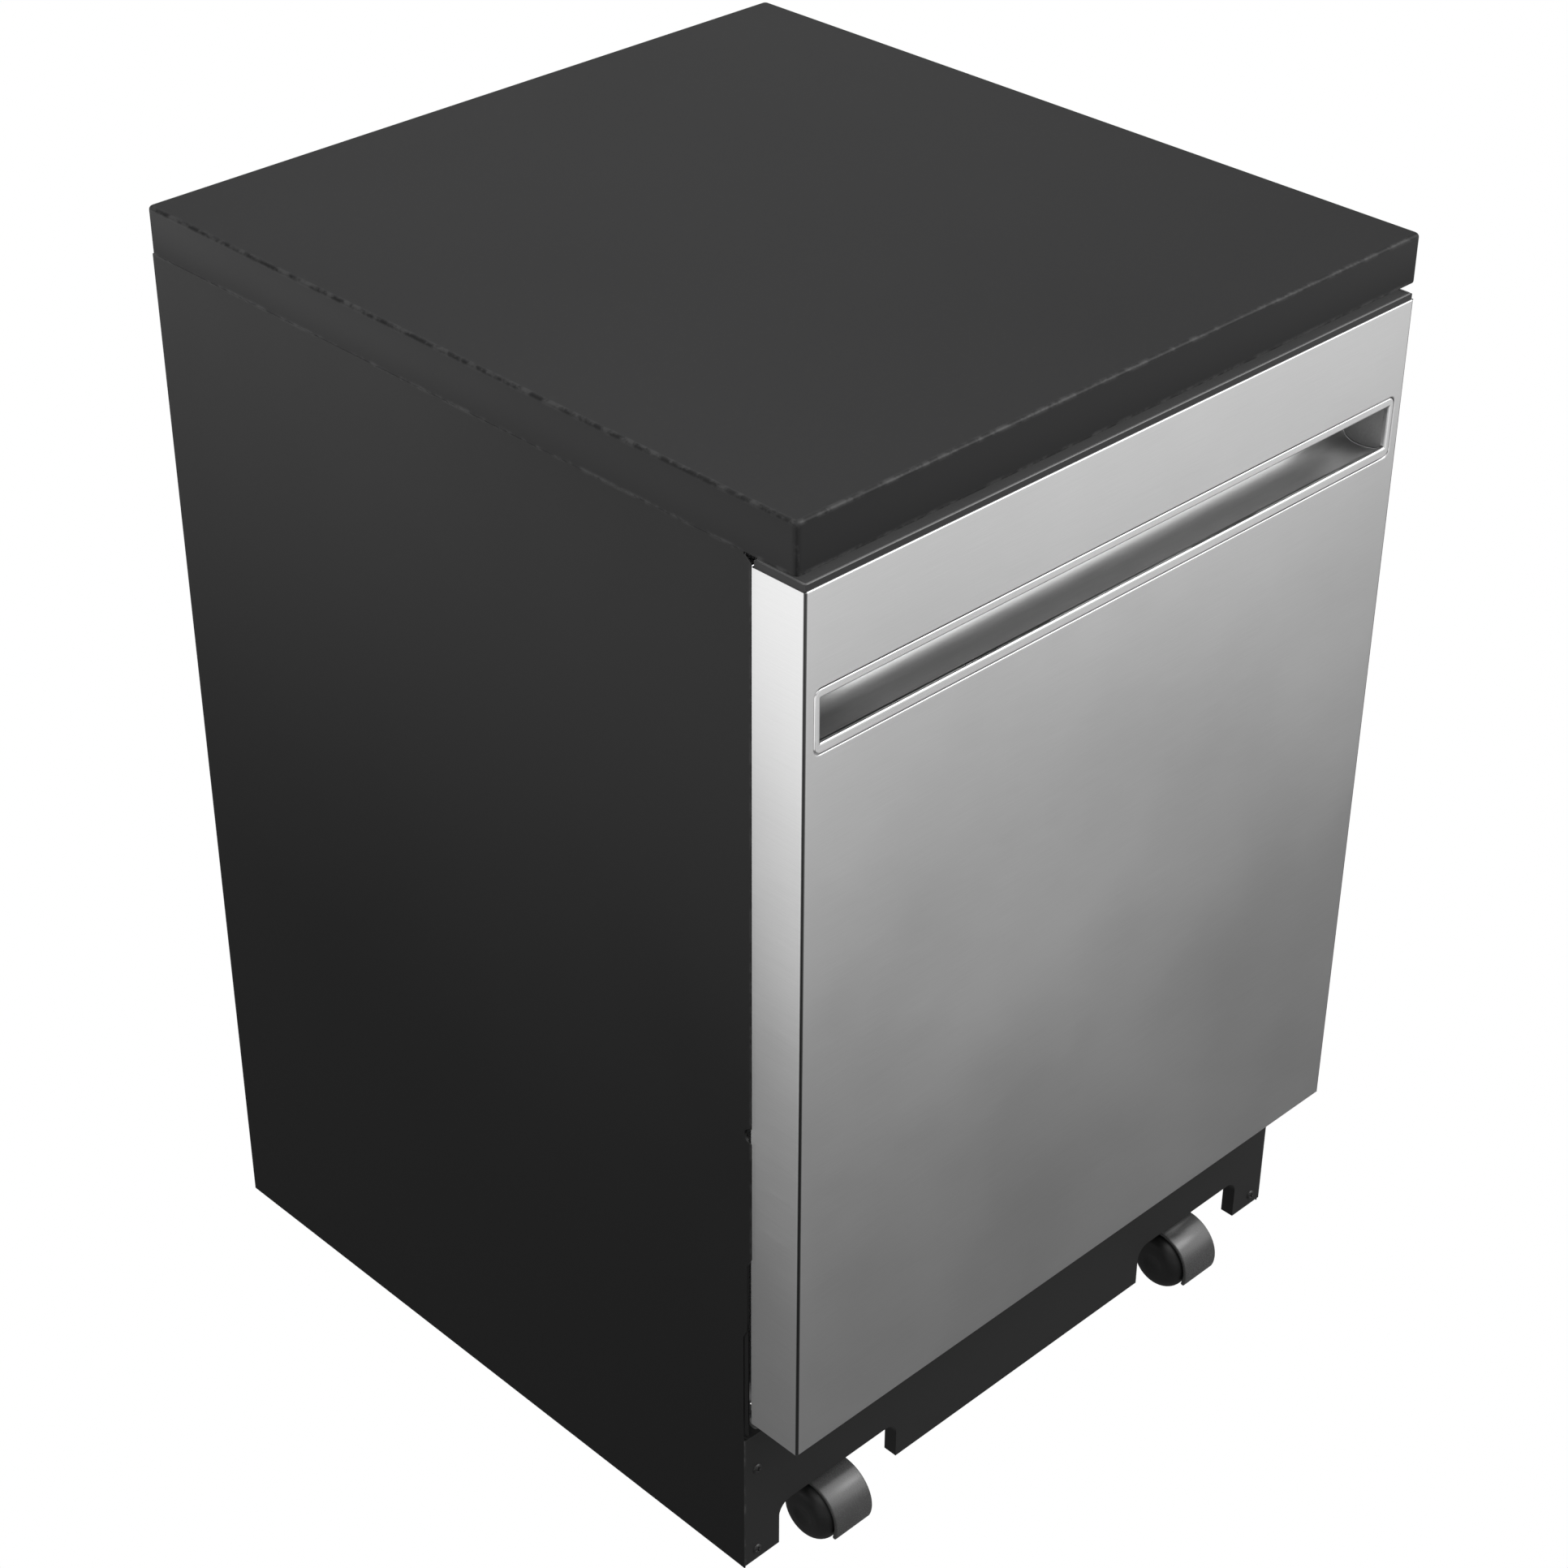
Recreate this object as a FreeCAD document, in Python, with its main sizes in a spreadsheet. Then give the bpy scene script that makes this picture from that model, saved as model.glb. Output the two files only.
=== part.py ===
import FreeCAD, Part
import os
import re

import Sketcher

# A free-standing dishwasher on casters, in millimetres.
# X runs to the right seen from the front, Y to the back, Z up from the floor.
# The origin is under the middle of the whole machine.

doc = FreeCAD.newDocument("dishwasher")
sheet = doc.addObject("Spreadsheet::Sheet", "sizes")

SIZES = [
    ("width", 610, "worktop, side to side"),
    ("depth", 658.3, "door front to worktop back"),
    ("height", 932, "floor to worktop top"),
    ("lid_thick", 37.1, "worktop slab"),
    ("lid_corner", 4.5, "worktop upright corner radius"),
    ("lid_edge", 3, "worktop top edge radius"),
    ("panel_inset", 1, "side panel back from the worktop side"),
    ("gauge", 1, "steel sheet"),
    ("hem_wide", 16, "folded front hem of a side panel"),
    ("step_deep", 3.9, "each step of a side panel's front edge"),
    ("notch_radius", 6.5, "half round notch in a side panel"),
    ("panel_setback", 43.2, "side panel's top front edge behind the door front"),
    ("clip_deep", 6, "corner clipped off a side panel's top"),
    ("clip_high", 7, "corner clipped off a side panel's top"),
    ("upper_step", 300, "cabinet foot to a side panel's upper step"),
    ("lower_step", 232, "cabinet foot to a side panel's lower step"),
    ("step_slope", 8, "sloping run of each step"),
    ("notch_rise", 417.5, "cabinet foot to the notch"),
    ("wheel_radius", 25.5, "caster wheel"),
    ("wheel_wide", 24.4, "caster wheel, along its axle"),
    ("wheel_shoulder", 12, "rounding of a wheel's outer rim"),
    ("wheel_gap", 2.6, "wheel inner face to the caster's middle"),
    ("hood_gap", 1.1, "wheel to hood"),
    ("hood_wall", 3.4, "caster hood band"),
    ("hood_half", 19.6, "half the caster hood's width"),
    ("axle_radius", 3, "caster axle"),
    ("axle_drop", 3.5, "axle to the cabinet's lower edge"),
    ("trail", 22, "caster axle to its swivel"),
    ("stem_radius", 5.5, "caster stem"),
    ("fit", 0.05, "radial clearance of a turning fit"),
    ("caster_margin", 98, "swivel to the side panel"),
    ("caster_front", 33.85, "swivel to the kick plate"),
    ("caster_rear", 83.15, "swivel to the worktop back"),
    ("horn_radius", 11, "boss round the caster stem"),
    ("hood_open", 10, "hood's lower lips below the axle"),
    ("web_half", 1.6, "half the web between a caster's wheels"),
    ("beam", 20, "base frame tube height"),
    ("beam_half", 16, "half the front and rear tubes' width"),
    ("side_beam", 24, "base frame's side tubes, across"),
    ("door_proud", 3.1, "door front ahead of the worktop"),
    ("door_side_gap", 4.4, "door back from the worktop side"),
    ("door_deep", 46.3, "outer door pan"),
    ("door_low", 148.6, "cabinet foot to door foot"),
    ("door_top_gap", 10.5, "door steel to worktop"),
    ("door_radius", 2.2, "door pan's front corner"),
    ("cap_rise", 4.1, "control strip above the door steel"),
    ("kick_setback", 49.3, "kick plate behind the door front"),
    ("kick_gap", 17.6, "kick plate to door foot"),
    ("foot_gap", 3, "kick plate's feet above the cabinet foot"),
    ("kick_notch_wide", 126, "caster notch in the kick plate"),
    ("kick_notch_high", 42.4, "caster notch above the cabinet foot"),
    ("kick_notch_radius", 12, "caster notch corners"),
    ("kick_return", 12, "folded edge beside a notch"),
    ("kick_inset", 0.55, "kick plate back from the worktop side"),
    ("screw_inset", 11, "kick plate screw to the side panel"),
    ("screw_low", 13, "cabinet foot to the lower screws"),
    ("screw_high", 95.6, "cabinet foot to the upper screws"),
    ("screw_radius", 4.2, "pan head of a kick plate screw"),
    ("screw_rise", 1.6, "pan head of a kick plate screw"),
    ("slot_half", 2.4, "half a screw's cross slot"),
    ("slot_thin", 0.5, "half the cross slot's width"),
    ("handle_half", 290.7, "half the handle frame's length"),
    ("handle_drop", 72.4, "door steel top to the handle frame"),
    ("handle_high", 46.4, "handle frame height"),
    ("handle_rim", 6.4, "handle frame's border"),
    ("handle_corner", 6, "handle frame's corner radius"),
    ("scoop_radius", 50, "floor of the handle scoop"),
    ("hinge_inset", 0.15, "hinge pin behind the outer pan"),
    ("hinge_rise", 1.4, "hinge pin above the door foot"),
    ("pin_radius", 3, "hinge pin"),
    ("ear_radius", 6.5, "bracket's ear round the hinge pin"),
    ("arm_boss", 6, "hinge arm's boss round the pin"),
    ("arm_rise", 90, "hinge arm's length up the door"),
    ("bracket_gap", 4.6, "hinge bracket to the door's side"),
    ("bracket_wide", 6.4, "hinge bracket plate"),
    ("spring_inset", 14, "door spring to the side panel"),
    ("spring_radius", 8, "door spring's coil"),
    ("spring_rise", 62, "door spring above the base frame"),
    ("spring_anchor", 40, "door spring's rear end behind the middle"),
    ("seal_space", 6.85, "door liner to the tub frame"),
    ("seal_air", 0.35, "door liner to the seal"),
    ("seal_out", 17, "seal's outer side beyond the tub"),
    ("seal_in", 4, "seal's inner side beyond the tub"),
    ("liner_proud", 19.85, "raised middle of the door liner"),
    ("tub_margin", 28.5, "tub inside to the side panel"),
    ("tub_rise", 27.4, "door foot to the tub floor"),
    ("tub_headroom", 24.9, "tub roof to the worktop"),
    ("tub_rear", 31.15, "tub inside to the worktop back"),
    ("tub_wall", 1.5, "tub sheet"),
    ("sump_radius", 108, "opening in the tub floor"),
    ("sump_deep", 70, "sump cup below the tub floor"),
    ("cup_wall", 3, "sump cup's wall"),
    ("filter_offset", 56, "filter to the middle of the sump"),
    ("filter_radius", 34, "removable filter"),
    ("tower_radius", 14, "tower that feeds the lower arm"),
    ("tower_pin", 10, "pin the lower arm turns on"),
    ("feed_pin", 8, "pin the upper arm turns on"),
    ("element_radius", 4, "heater element"),
    ("element_gap", 35, "heater ring outside the sump"),
    ("float_inset", 50, "water float to the tub's side and mouth"),
    ("pump_radius", 38, "circulation pump's motor"),
    ("pump_long", 100, "circulation pump's motor"),
    ("drain_radius", 24, "drain pump's motor"),
    ("drain_long", 66, "drain pump's motor"),
    ("pump_rise", 24, "pump axes above the sump's foot"),
    ("bay_half", 150, "half the rear bay's opening"),
    ("bay_deep", 72, "rear bay, front to back"),
    ("bay_wall", 3, "rear bay's moulding"),
    ("bay_foot", 10, "rear bay's opening above the base frame"),
    ("bay_gap", 6, "rear bay to the tub floor"),
    ("fitting_pitch", 80, "from one rear fitting to the next"),
    ("fitting_rise", 70, "rear fittings above the base frame"),
    ("inlet_radius", 13, "inlet valve's body"),
    ("outlet_radius", 11, "drain outlet's body"),
    ("gland_radius", 9, "cord gland's body"),
    ("arm_gap", 25.5, "spray arm tip to the nearest wall"),
    ("arm_half", 22, "half a spray arm's width"),
    ("rack_gap", 19.5, "lower rack to the tub side"),
    ("rack_rear_gap", 22, "racks to the tub back"),
    ("rack_front", 58, "racks behind the hinge pin"),
    ("rack_bar", 4, "rack rods"),
    ("upper_rack_gap", 25.5, "upper rack to the tub side"),
    ("rack_pitch", 44, "rack rods, one to the next"),
    ("roller_radius", 7, "upper rack roller"),
    ("roller_wide", 7, "upper rack roller"),
    ("roller_pin", 2.5, "upper rack roller's pin"),
    ("roller_gap", 0.4, "upper rack roller to its rail"),
    ("rail_gap", 6, "upper rack to its rail"),
    ("rail_wide", 5, "upper rack rail"),
    ("rack_wheel_radius", 17, "lower rack wheel"),
    ("button_wide", 26, "push button"),
    ("button_deep", 10, "push button"),
    ("button_gap", 0.4, "push button to its hole"),
    ("button_pitch", 48, "from one push button to the next"),
]
CELLS = [name for name, value, note in SIZES]
for row, (name, value, note) in enumerate(SIZES, start=1):
    sheet.set(f"A{row}", name)
    sheet.set(f"B{row}", str(value))
    sheet.set(f"C{row}", note)
    sheet.setAlias(f"B{row}", name)
doc.recompute()

# Places that several pieces share, each a formula of the cells.
PLACES = {
    "front": "-depth/2",
    "back": "depth/2",
    "lid_low": "height - lid_thick",
    "side_out": "width/2 - panel_inset",
    "side_in": "side_out - gauge",
    "hem_in": "side_in - gauge",
    "lift": "wheel_radius + axle_drop",
    "door_half": "width/2 - door_side_gap",
    "door_back": "front + door_deep",
    "door_foot": "lift + door_low",
    "door_head": "lid_low - door_top_gap",
    "kick_front": "front + kick_setback",
    "kick_back": "kick_front + gauge",
    "kick_fold": "kick_front + kick_return",
    "kick_top": "door_foot - kick_gap",
    "hinge_y": "door_back - hinge_inset",
    "hinge_z": "door_foot + hinge_rise",
    "liner_back": "door_back + gauge",
    "liner_face": "liner_back + liner_proud",
    "mouth": "liner_back + seal_space",
    "tub_half": "side_out - tub_margin",
    "tub_floor": "door_foot + tub_rise",
    "tub_roof": "lid_low - tub_headroom",
    "tub_back": "back - tub_rear",
    "tub_mid": "(tub_floor + tub_roof)/2",
    "spray_y": "(mouth + tub_back)/2 + 8.5",
    "reach": "min(tub_half; (tub_back - mouth)/2 - 8.5) - arm_gap",
    "hood_in": "wheel_radius + hood_gap",
    "hood_out": "hood_in + hood_wall",
    "horn_top": "wheel_radius + hood_out + 2",
    "frame_low": "horn_top + 2.5",
    "frame_top": "frame_low + beam",
    "caster_x": "side_out - caster_margin",
    "caster_y_front": "kick_front + caster_front",
    "caster_y_rear": "back - caster_rear",
    "handle_top": "door_head - handle_drop",
    "handle_low": "handle_top - handle_high",
    "cap_top": "door_head + cap_rise",
    "lower_half": "tub_half - rack_gap",
    "upper_half": "tub_half - upper_rack_gap",
    "rack_y_front": "hinge_y + rack_front",
    "rack_y_back": "tub_back - rack_rear_gap",
    "lower_rack_low": "tub_floor + 57",
    "lower_rack_top": "tub_mid - 77.5",
    "upper_rack_low": "tub_mid + 7.5",
    "upper_rack_top": "tub_roof - 195",
    "rail_low": "upper_rack_low + 45",
    "rail_top": "rail_low + 20",
    "dispenser_low": "tub_floor + 265",
    "pan_inside": "door_half - gauge",
    "spring_x": "side_in - spring_inset",
    "spring_z": "frame_top + spring_rise",
    "sump_low": "tub_floor - sump_deep",
    "pump_z": "sump_low + pump_rise",
    "fitting_z": "frame_top + fitting_rise",
    "bay_low": "frame_top + bay_foot",
    "bay_top": "tub_floor - bay_gap - bay_wall",
    "bay_back": "back - gauge - bay_deep",
}


def full(text):
    """A formula with every place written out and every cell named in its sheet."""

    def swap(word):
        name = word.group(0)
        if name in PLACES:
            return "(" + full(PLACES[name]) + ")"
        return "sizes." + name if name in CELLS else name

    return re.sub(r"[a-z][a-z_0-9]*", swap, str(text))


def size(text):
    """A formula's number, for the few shapes that are set in code."""
    return float(sheet.evalExpression(full(text)))


def bind(thing, prop, text):
    """Tie one property of an object to the sheet."""
    thing.setExpression(prop, full(text))


def flipped(span, sign):
    """A span, or its mirror image on the left of the middle."""
    low, high = span
    return span if sign > 0 else (f"-({high})", f"-({low})")


def box(name, xs, ys, zs):
    """A block between two places along each axis."""
    block = doc.addObject("Part::Box", name)
    for side, axis, (low, high) in zip(("Length", "Width", "Height"), "xyz", (xs, ys, zs)):
        bind(block, side, f"({high}) - ({low})")
        bind(block, "Placement.Base." + axis, low)
    return block


TURNS = {
    "x": FreeCAD.Rotation(FreeCAD.Vector(0, 1, 0), 90),
    "y": FreeCAD.Rotation(FreeCAD.Vector(1, 0, 0), -90),
    "z": FreeCAD.Rotation(),
}


def rod(name, axis, radius, start, length):
    """A round bar that runs from start along one axis."""
    bar = doc.addObject("Part::Cylinder", name)
    bar.Placement = FreeCAD.Placement(FreeCAD.Vector(), TURNS[axis])
    bind(bar, "Radius", radius)
    bind(bar, "Height", length)
    for letter, place in zip("xyz", start):
        bind(bar, "Placement.Base." + letter, place)
    return bar


def fuse(name, *pieces):
    """Several shapes as one."""
    joined = doc.addObject("Part::MultiFuse", name)
    joined.Shapes = list(pieces)
    joined.Refine = True
    return joined


def cut(name, base, *tools):
    """A shape less one or more others."""
    less = doc.addObject("Part::Cut", name)
    less.Base = base
    less.Tool = tools[0] if len(tools) == 1 else fuse(name + "_tools", *tools)
    less.Refine = True
    return less


def group(name, *pieces):
    """Identical separate solids kept as one piece."""
    kept = doc.addObject("Part::Compound", name)
    kept.Links = list(pieces)
    return kept


def sketch(body, name, plane, offset, points):
    """A closed outline on one of the body's own planes, offset along its normal."""
    drawn = body.newObject("Sketcher::SketchObject", name)
    origin_plane = next(f for f in body.Origin.OriginFeatures if f.Role == plane)
    drawn.AttachmentSupport = [(origin_plane, "")]
    drawn.MapMode = "FlatFace"
    bind(drawn, "AttachmentOffset.Base.z", offset)
    spots = [FreeCAD.Vector(size(u), size(v), 0) for u, v in points]
    count = len(spots)
    for i in range(count):
        drawn.addGeometry(Part.LineSegment(spots[i], spots[(i + 1) % count]), False)
    for i in range(count):
        drawn.addConstraint(Sketcher.Constraint("Coincident", i, 2, (i + 1) % count, 1))
    for i, (u, v) in enumerate(points):
        for kind, text, value in (("DistanceX", u, spots[i].x), ("DistanceY", v, spots[i].y)):
            number = drawn.addConstraint(Sketcher.Constraint(kind, -1, 1, i, 1, value))
            drawn.setExpression(f"Constraints[{number}]", full(text))
    return drawn


def pad(body, name, plane, span, points):
    """Material between two places along the plane's axis."""
    low, high = span
    offset = f"-({high})" if plane == "XZ_Plane" else low
    feature = body.newObject("PartDesign::Pad", name)
    feature.Profile = sketch(body, name + "_sketch", plane, offset, points)
    bind(feature, "Length", f"({high}) - ({low})")
    return feature


def pocket(body, name, plane, span, points):
    """Material taken away between two places along the plane's axis."""
    low, high = span
    offset = f"-({low})" if plane == "XZ_Plane" else high
    feature = body.newObject("PartDesign::Pocket", name)
    feature.Profile = sketch(body, name + "_sketch", plane, offset, points)
    bind(feature, "Length", f"({high}) - ({low})")
    return feature


def turned(body, name, plane, points, axis):
    """Material swept a full turn about one of the sketch's own axes."""
    feature = body.newObject("PartDesign::Revolution", name)
    feature.Profile = sketch(body, name + "_sketch", plane, "0", points)
    feature.ReferenceAxis = (feature.Profile[0], [axis])
    feature.Angle = 360
    return feature


def rounded(body, name, radius, wanted):
    """A fillet on the edges of the body's last feature that wanted picks."""
    doc.recompute()
    last = body.Tip
    edges = [f"Edge{i}" for i, edge in enumerate(last.Shape.Edges, start=1) if wanted(edge)]
    feature = body.newObject("PartDesign::Fillet", name)
    feature.Base = (last, edges)
    bind(feature, "Radius", radius)
    return feature


def runs(edge, axis):
    """Whether a straight edge runs along one axis."""
    first, last = edge.Vertexes[0].Point, edge.Vertexes[-1].Point
    span = last - first
    return edge.Curve.TypeId == "Part::GeomLine" and abs(getattr(span, axis)) > 0.999 * span.Length


def rectangle(us, vs):
    """The four corners of an upright rectangle in a sketch."""
    (u0, u1), (v0, v1) = us, vs
    return [(u0, v0), (u1, v0), (u1, v1), (u0, v1)]


def around(middle, half):
    """A span of the same size each side of a place."""
    return f"({middle}) - ({half})", f"({middle}) + ({half})"


nodes = []


def keep(piece, label):
    """Name a finished piece and put it on the list of files."""
    piece.Label = label
    nodes.append(piece)
    return piece


def lattice(name, xs, ys, zs, pitch, bar):
    """An open-topped basket of crossed bars.

    A thin-walled box, less rows of square windows through each wall and the floor.
    """
    x0, x1, y0, y1, z0, z1, b = (size(t) for t in (*xs, *ys, *zs, bar))
    shell = Part.makeBox(x1 - x0, y1 - y0, z1 - z0, FreeCAD.Vector(x0, y0, z0))
    inner = Part.makeBox(x1 - x0 - 2 * b, y1 - y0 - 2 * b, z1 - z0, FreeCAD.Vector(x0 + b, y0 + b, z0 + b))
    shell = shell.cut(inner)

    def cells(low, high):
        """Evenly spaced window spans between two bars, about a pitch apart."""
        count = max(1, round((high - low - b) / pitch))
        step = (high - low - b) / count
        return [(low + b + i * step, step - b) for i in range(count)]

    columns, rows, levels = cells(x0, x1), cells(y0, y1), cells(z0, z1)
    windows = [Part.makeBox(w, d, 3 * b, FreeCAD.Vector(x, y, z0 - b)) for x, w in columns for y, d in rows]
    windows += [
        Part.makeBox(w, y1 - y0 + 2 * b, t, FreeCAD.Vector(x, y0 - b, z))
        for x, w in columns for z, t in levels
    ]
    windows += [
        Part.makeBox(x1 - x0 + 2 * b, d, t, FreeCAD.Vector(x0 - b, y, z))
        for y, d in rows for z, t in levels
    ]
    basket = doc.addObject("Part::Feature", name)
    basket.Shape = shell.cut(Part.makeCompound(windows))
    return basket


# ---- worktop: a slab with rounded corners that sits on the side panels ----
lid = doc.addObject("PartDesign::Body", "worktop")
pad(
    lid,
    "slab",
    "XY_Plane",
    ("lid_low", "height"),
    rectangle(("-width/2", "width/2"), ("front + door_proud", "back")),
)
rounded(lid, "upright_corners", "lid_corner", lambda e: runs(e, "z"))
rounded(lid, "top_edge", "lid_edge", lambda e: e.BoundBox.ZMin > size("height") - 0.01)
keep(lid, "worktop")

# ---- side panels: steel sheet with a stepped front edge, a folded hem and a half round notch ----
for side, sign in (("left", -1), ("right", 1)):
    panel = doc.addObject("PartDesign::Body", f"panel_sheet_{side}")
    edge_top = "front + panel_setback"
    edge_mid = f"{edge_top} + step_deep"
    edge_low = f"{edge_mid} + step_deep"
    outline = [
        ("kick_back", "lift"),
        ("back", "lift"),
        ("back", "lid_low"),
        (f"{edge_top} + clip_deep", "lid_low"),
        (f"{edge_top} + clip_deep", "lid_low - 2"),
        (edge_top, "lid_low - clip_high"),
        (edge_top, "lift + upper_step + step_slope"),
        (edge_mid, "lift + upper_step"),
        (edge_mid, "lift + lower_step + step_slope"),
        (edge_low, "lift + lower_step"),
        (edge_low, "kick_top + 4"),
        ("kick_back", "kick_top + 4"),
    ]
    pad(panel, f"skin_{side}", "YZ_Plane", flipped(("side_in", "side_out"), sign), outline)
    hem = rectangle((edge_mid, f"{edge_mid} + hem_wide"), ("kick_top + 6", "lid_low - 20"))
    pad(panel, f"hem_{side}", "YZ_Plane", flipped(("hem_in", "side_in"), sign), hem)
    notch_x = flipped(around("side_in", "3*gauge"), sign)[0]
    notch = rod(f"notch_{side}", "x", "notch_radius", (notch_x, edge_top, "lift + notch_rise"), "6*gauge")
    keep(cut(f"side_{side}", panel, notch), f"side_panel_{side}")
rear = doc.addObject("PartDesign::Body", "back_panel")
bay_x = ("-bay_half", "bay_half")
bay_z = ("bay_low", "bay_top")
pad(
    rear,
    "rear_sheet",
    "XZ_Plane",
    ("back - gauge", "back"),
    rectangle(("-side_in", "side_in"), ("lift", "lid_low")),
)
pocket(rear, "bay_window", "XZ_Plane", ("back - 3*gauge", "back + gauge"), rectangle(bay_x, bay_z))
keep(rear, "back_panel")

# ---- base frame: welded square tube with four caster sockets ----
frame_x = ("-side_in", "side_in")
frame_z = ("frame_low", "frame_top")
bars = [
    box("beam_front", frame_x, around("caster_y_front", "beam_half"), frame_z),
    box("beam_rear", frame_x, around("caster_y_rear", "beam_half"), frame_z),
    box("beam_left", ("-side_in", "-side_in + side_beam"), ("caster_y_front", "caster_y_rear"), frame_z),
    box("beam_right", ("side_in - side_beam", "side_in"), ("caster_y_front", "caster_y_rear"), frame_z),
]
corners = []
for x_word, x_sign in (("left", "-"), ("right", "")):
    for y_word, y_place in (("front", "caster_y_front"), ("rear", "caster_y_rear")):
        corners.append((f"{y_word}_{x_word}", f"{x_sign}caster_x", y_place))
for side, sign in (("left", -1), ("right", 1)):
    post_x = flipped(around("spring_x", 6), sign)
    post_y = ("spring_anchor", "spring_anchor + 6")
    bars.append(box(f"spring_post_{side}", post_x, post_y, ("frame_low", "spring_z + 12")))
sockets = [
    rod(f"socket_{name}", "z", "stem_radius + fit", (x, y, "frame_low - 1"), "beam + 2")
    for name, x, y in corners
]
keep(cut("base", fuse("base_bars", *bars), *sockets), "base_frame")

# ---- kick plate: sheet with two caster notches, folded top and notch edges, and four screws ----
kick = doc.addObject("PartDesign::Body", "kick_plate")
kick_half = "width/2 - kick_inset"
kick_low = "lift + foot_gap"
notch_top = "lift + kick_notch_high"
near_x = "caster_x - kick_notch_wide/2"
far_x = "caster_x + kick_notch_wide/2"
middle_low = f"{kick_low} + foot_gap"
kick_outline = [
    (f"-({kick_half})", "kick_top"),
    (f"-({kick_half})", kick_low),
    (f"-({far_x})", kick_low),
    (f"-({far_x})", notch_top),
    (f"-({near_x})", notch_top),
    (f"-({near_x})", middle_low),
    (near_x, middle_low),
    (near_x, notch_top),
    (far_x, notch_top),
    (far_x, kick_low),
    (kick_half, kick_low),
    (kick_half, "kick_top"),
]
pad(kick, "kick_face", "XZ_Plane", ("kick_front", "kick_back"), kick_outline)
rounded(
    kick,
    "notch_corners",
    "kick_notch_radius",
    lambda e: runs(e, "y") and abs(e.BoundBox.ZMin - size(notch_top)) < 0.01,
)
fold_y = ("kick_front", "kick_fold")
pad(
    kick,
    "kick_top_fold",
    "XY_Plane",
    ("kick_top - gauge", "kick_top"),
    rectangle(("-side_in + 2*gauge", "side_in - 2*gauge"), fold_y),
)
notch_folds = [
    (f"-({far_x})", -1, kick_low),
    (f"-({near_x})", 1, middle_low),
    (near_x, -1, middle_low),
    (far_x, 1, kick_low),
]
for i, (x, inward, low) in enumerate(notch_folds):
    fold_x = (x, f"{x} + gauge") if inward > 0 else (f"{x} - gauge", x)
    pad(
        kick,
        f"notch_fold_{i}",
        "YZ_Plane",
        fold_x,
        rectangle(fold_y, (low, f"{notch_top} - kick_notch_radius")),
    )
keep(kick, "kick_plate")
kick_screws = []
screw_xs = ("-side_in + screw_inset", "side_in - screw_inset")
screw_zs = ("lift + screw_low", "lift + screw_high")
slot_y = ("kick_front - screw_rise - 0.4", "kick_front - screw_rise/2")
for i, (x, z) in enumerate([(x, z) for x in screw_xs for z in screw_zs]):
    head = rod(f"kick_head_{i}", "y", "screw_radius", (x, "kick_front - screw_rise", z), "screw_rise")
    level_slot = box(f"kick_slot_a_{i}", around(x, "slot_half"), slot_y, around(z, "slot_thin"))
    upright_slot = box(f"kick_slot_b_{i}", around(x, "slot_thin"), slot_y, around(z, "slot_half"))
    kick_screws.append(cut(f"kick_screw_{i}", head, level_slot, upright_slot))
keep(group("kick_screws", *kick_screws), "kick_screws")

# ---- casters: hood and stem in one, two wheels on one axle ----
def is_rim(edge):
    """Whether an edge is the outer circle of a wheel's outer face."""
    box_of = edge.BoundBox
    at_face = abs(abs(box_of.XMax) - size("wheel_gap + wheel_wide")) < 0.01
    return box_of.XLength < 0.01 and at_face and box_of.ZLength > size("wheel_radius")


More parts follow.
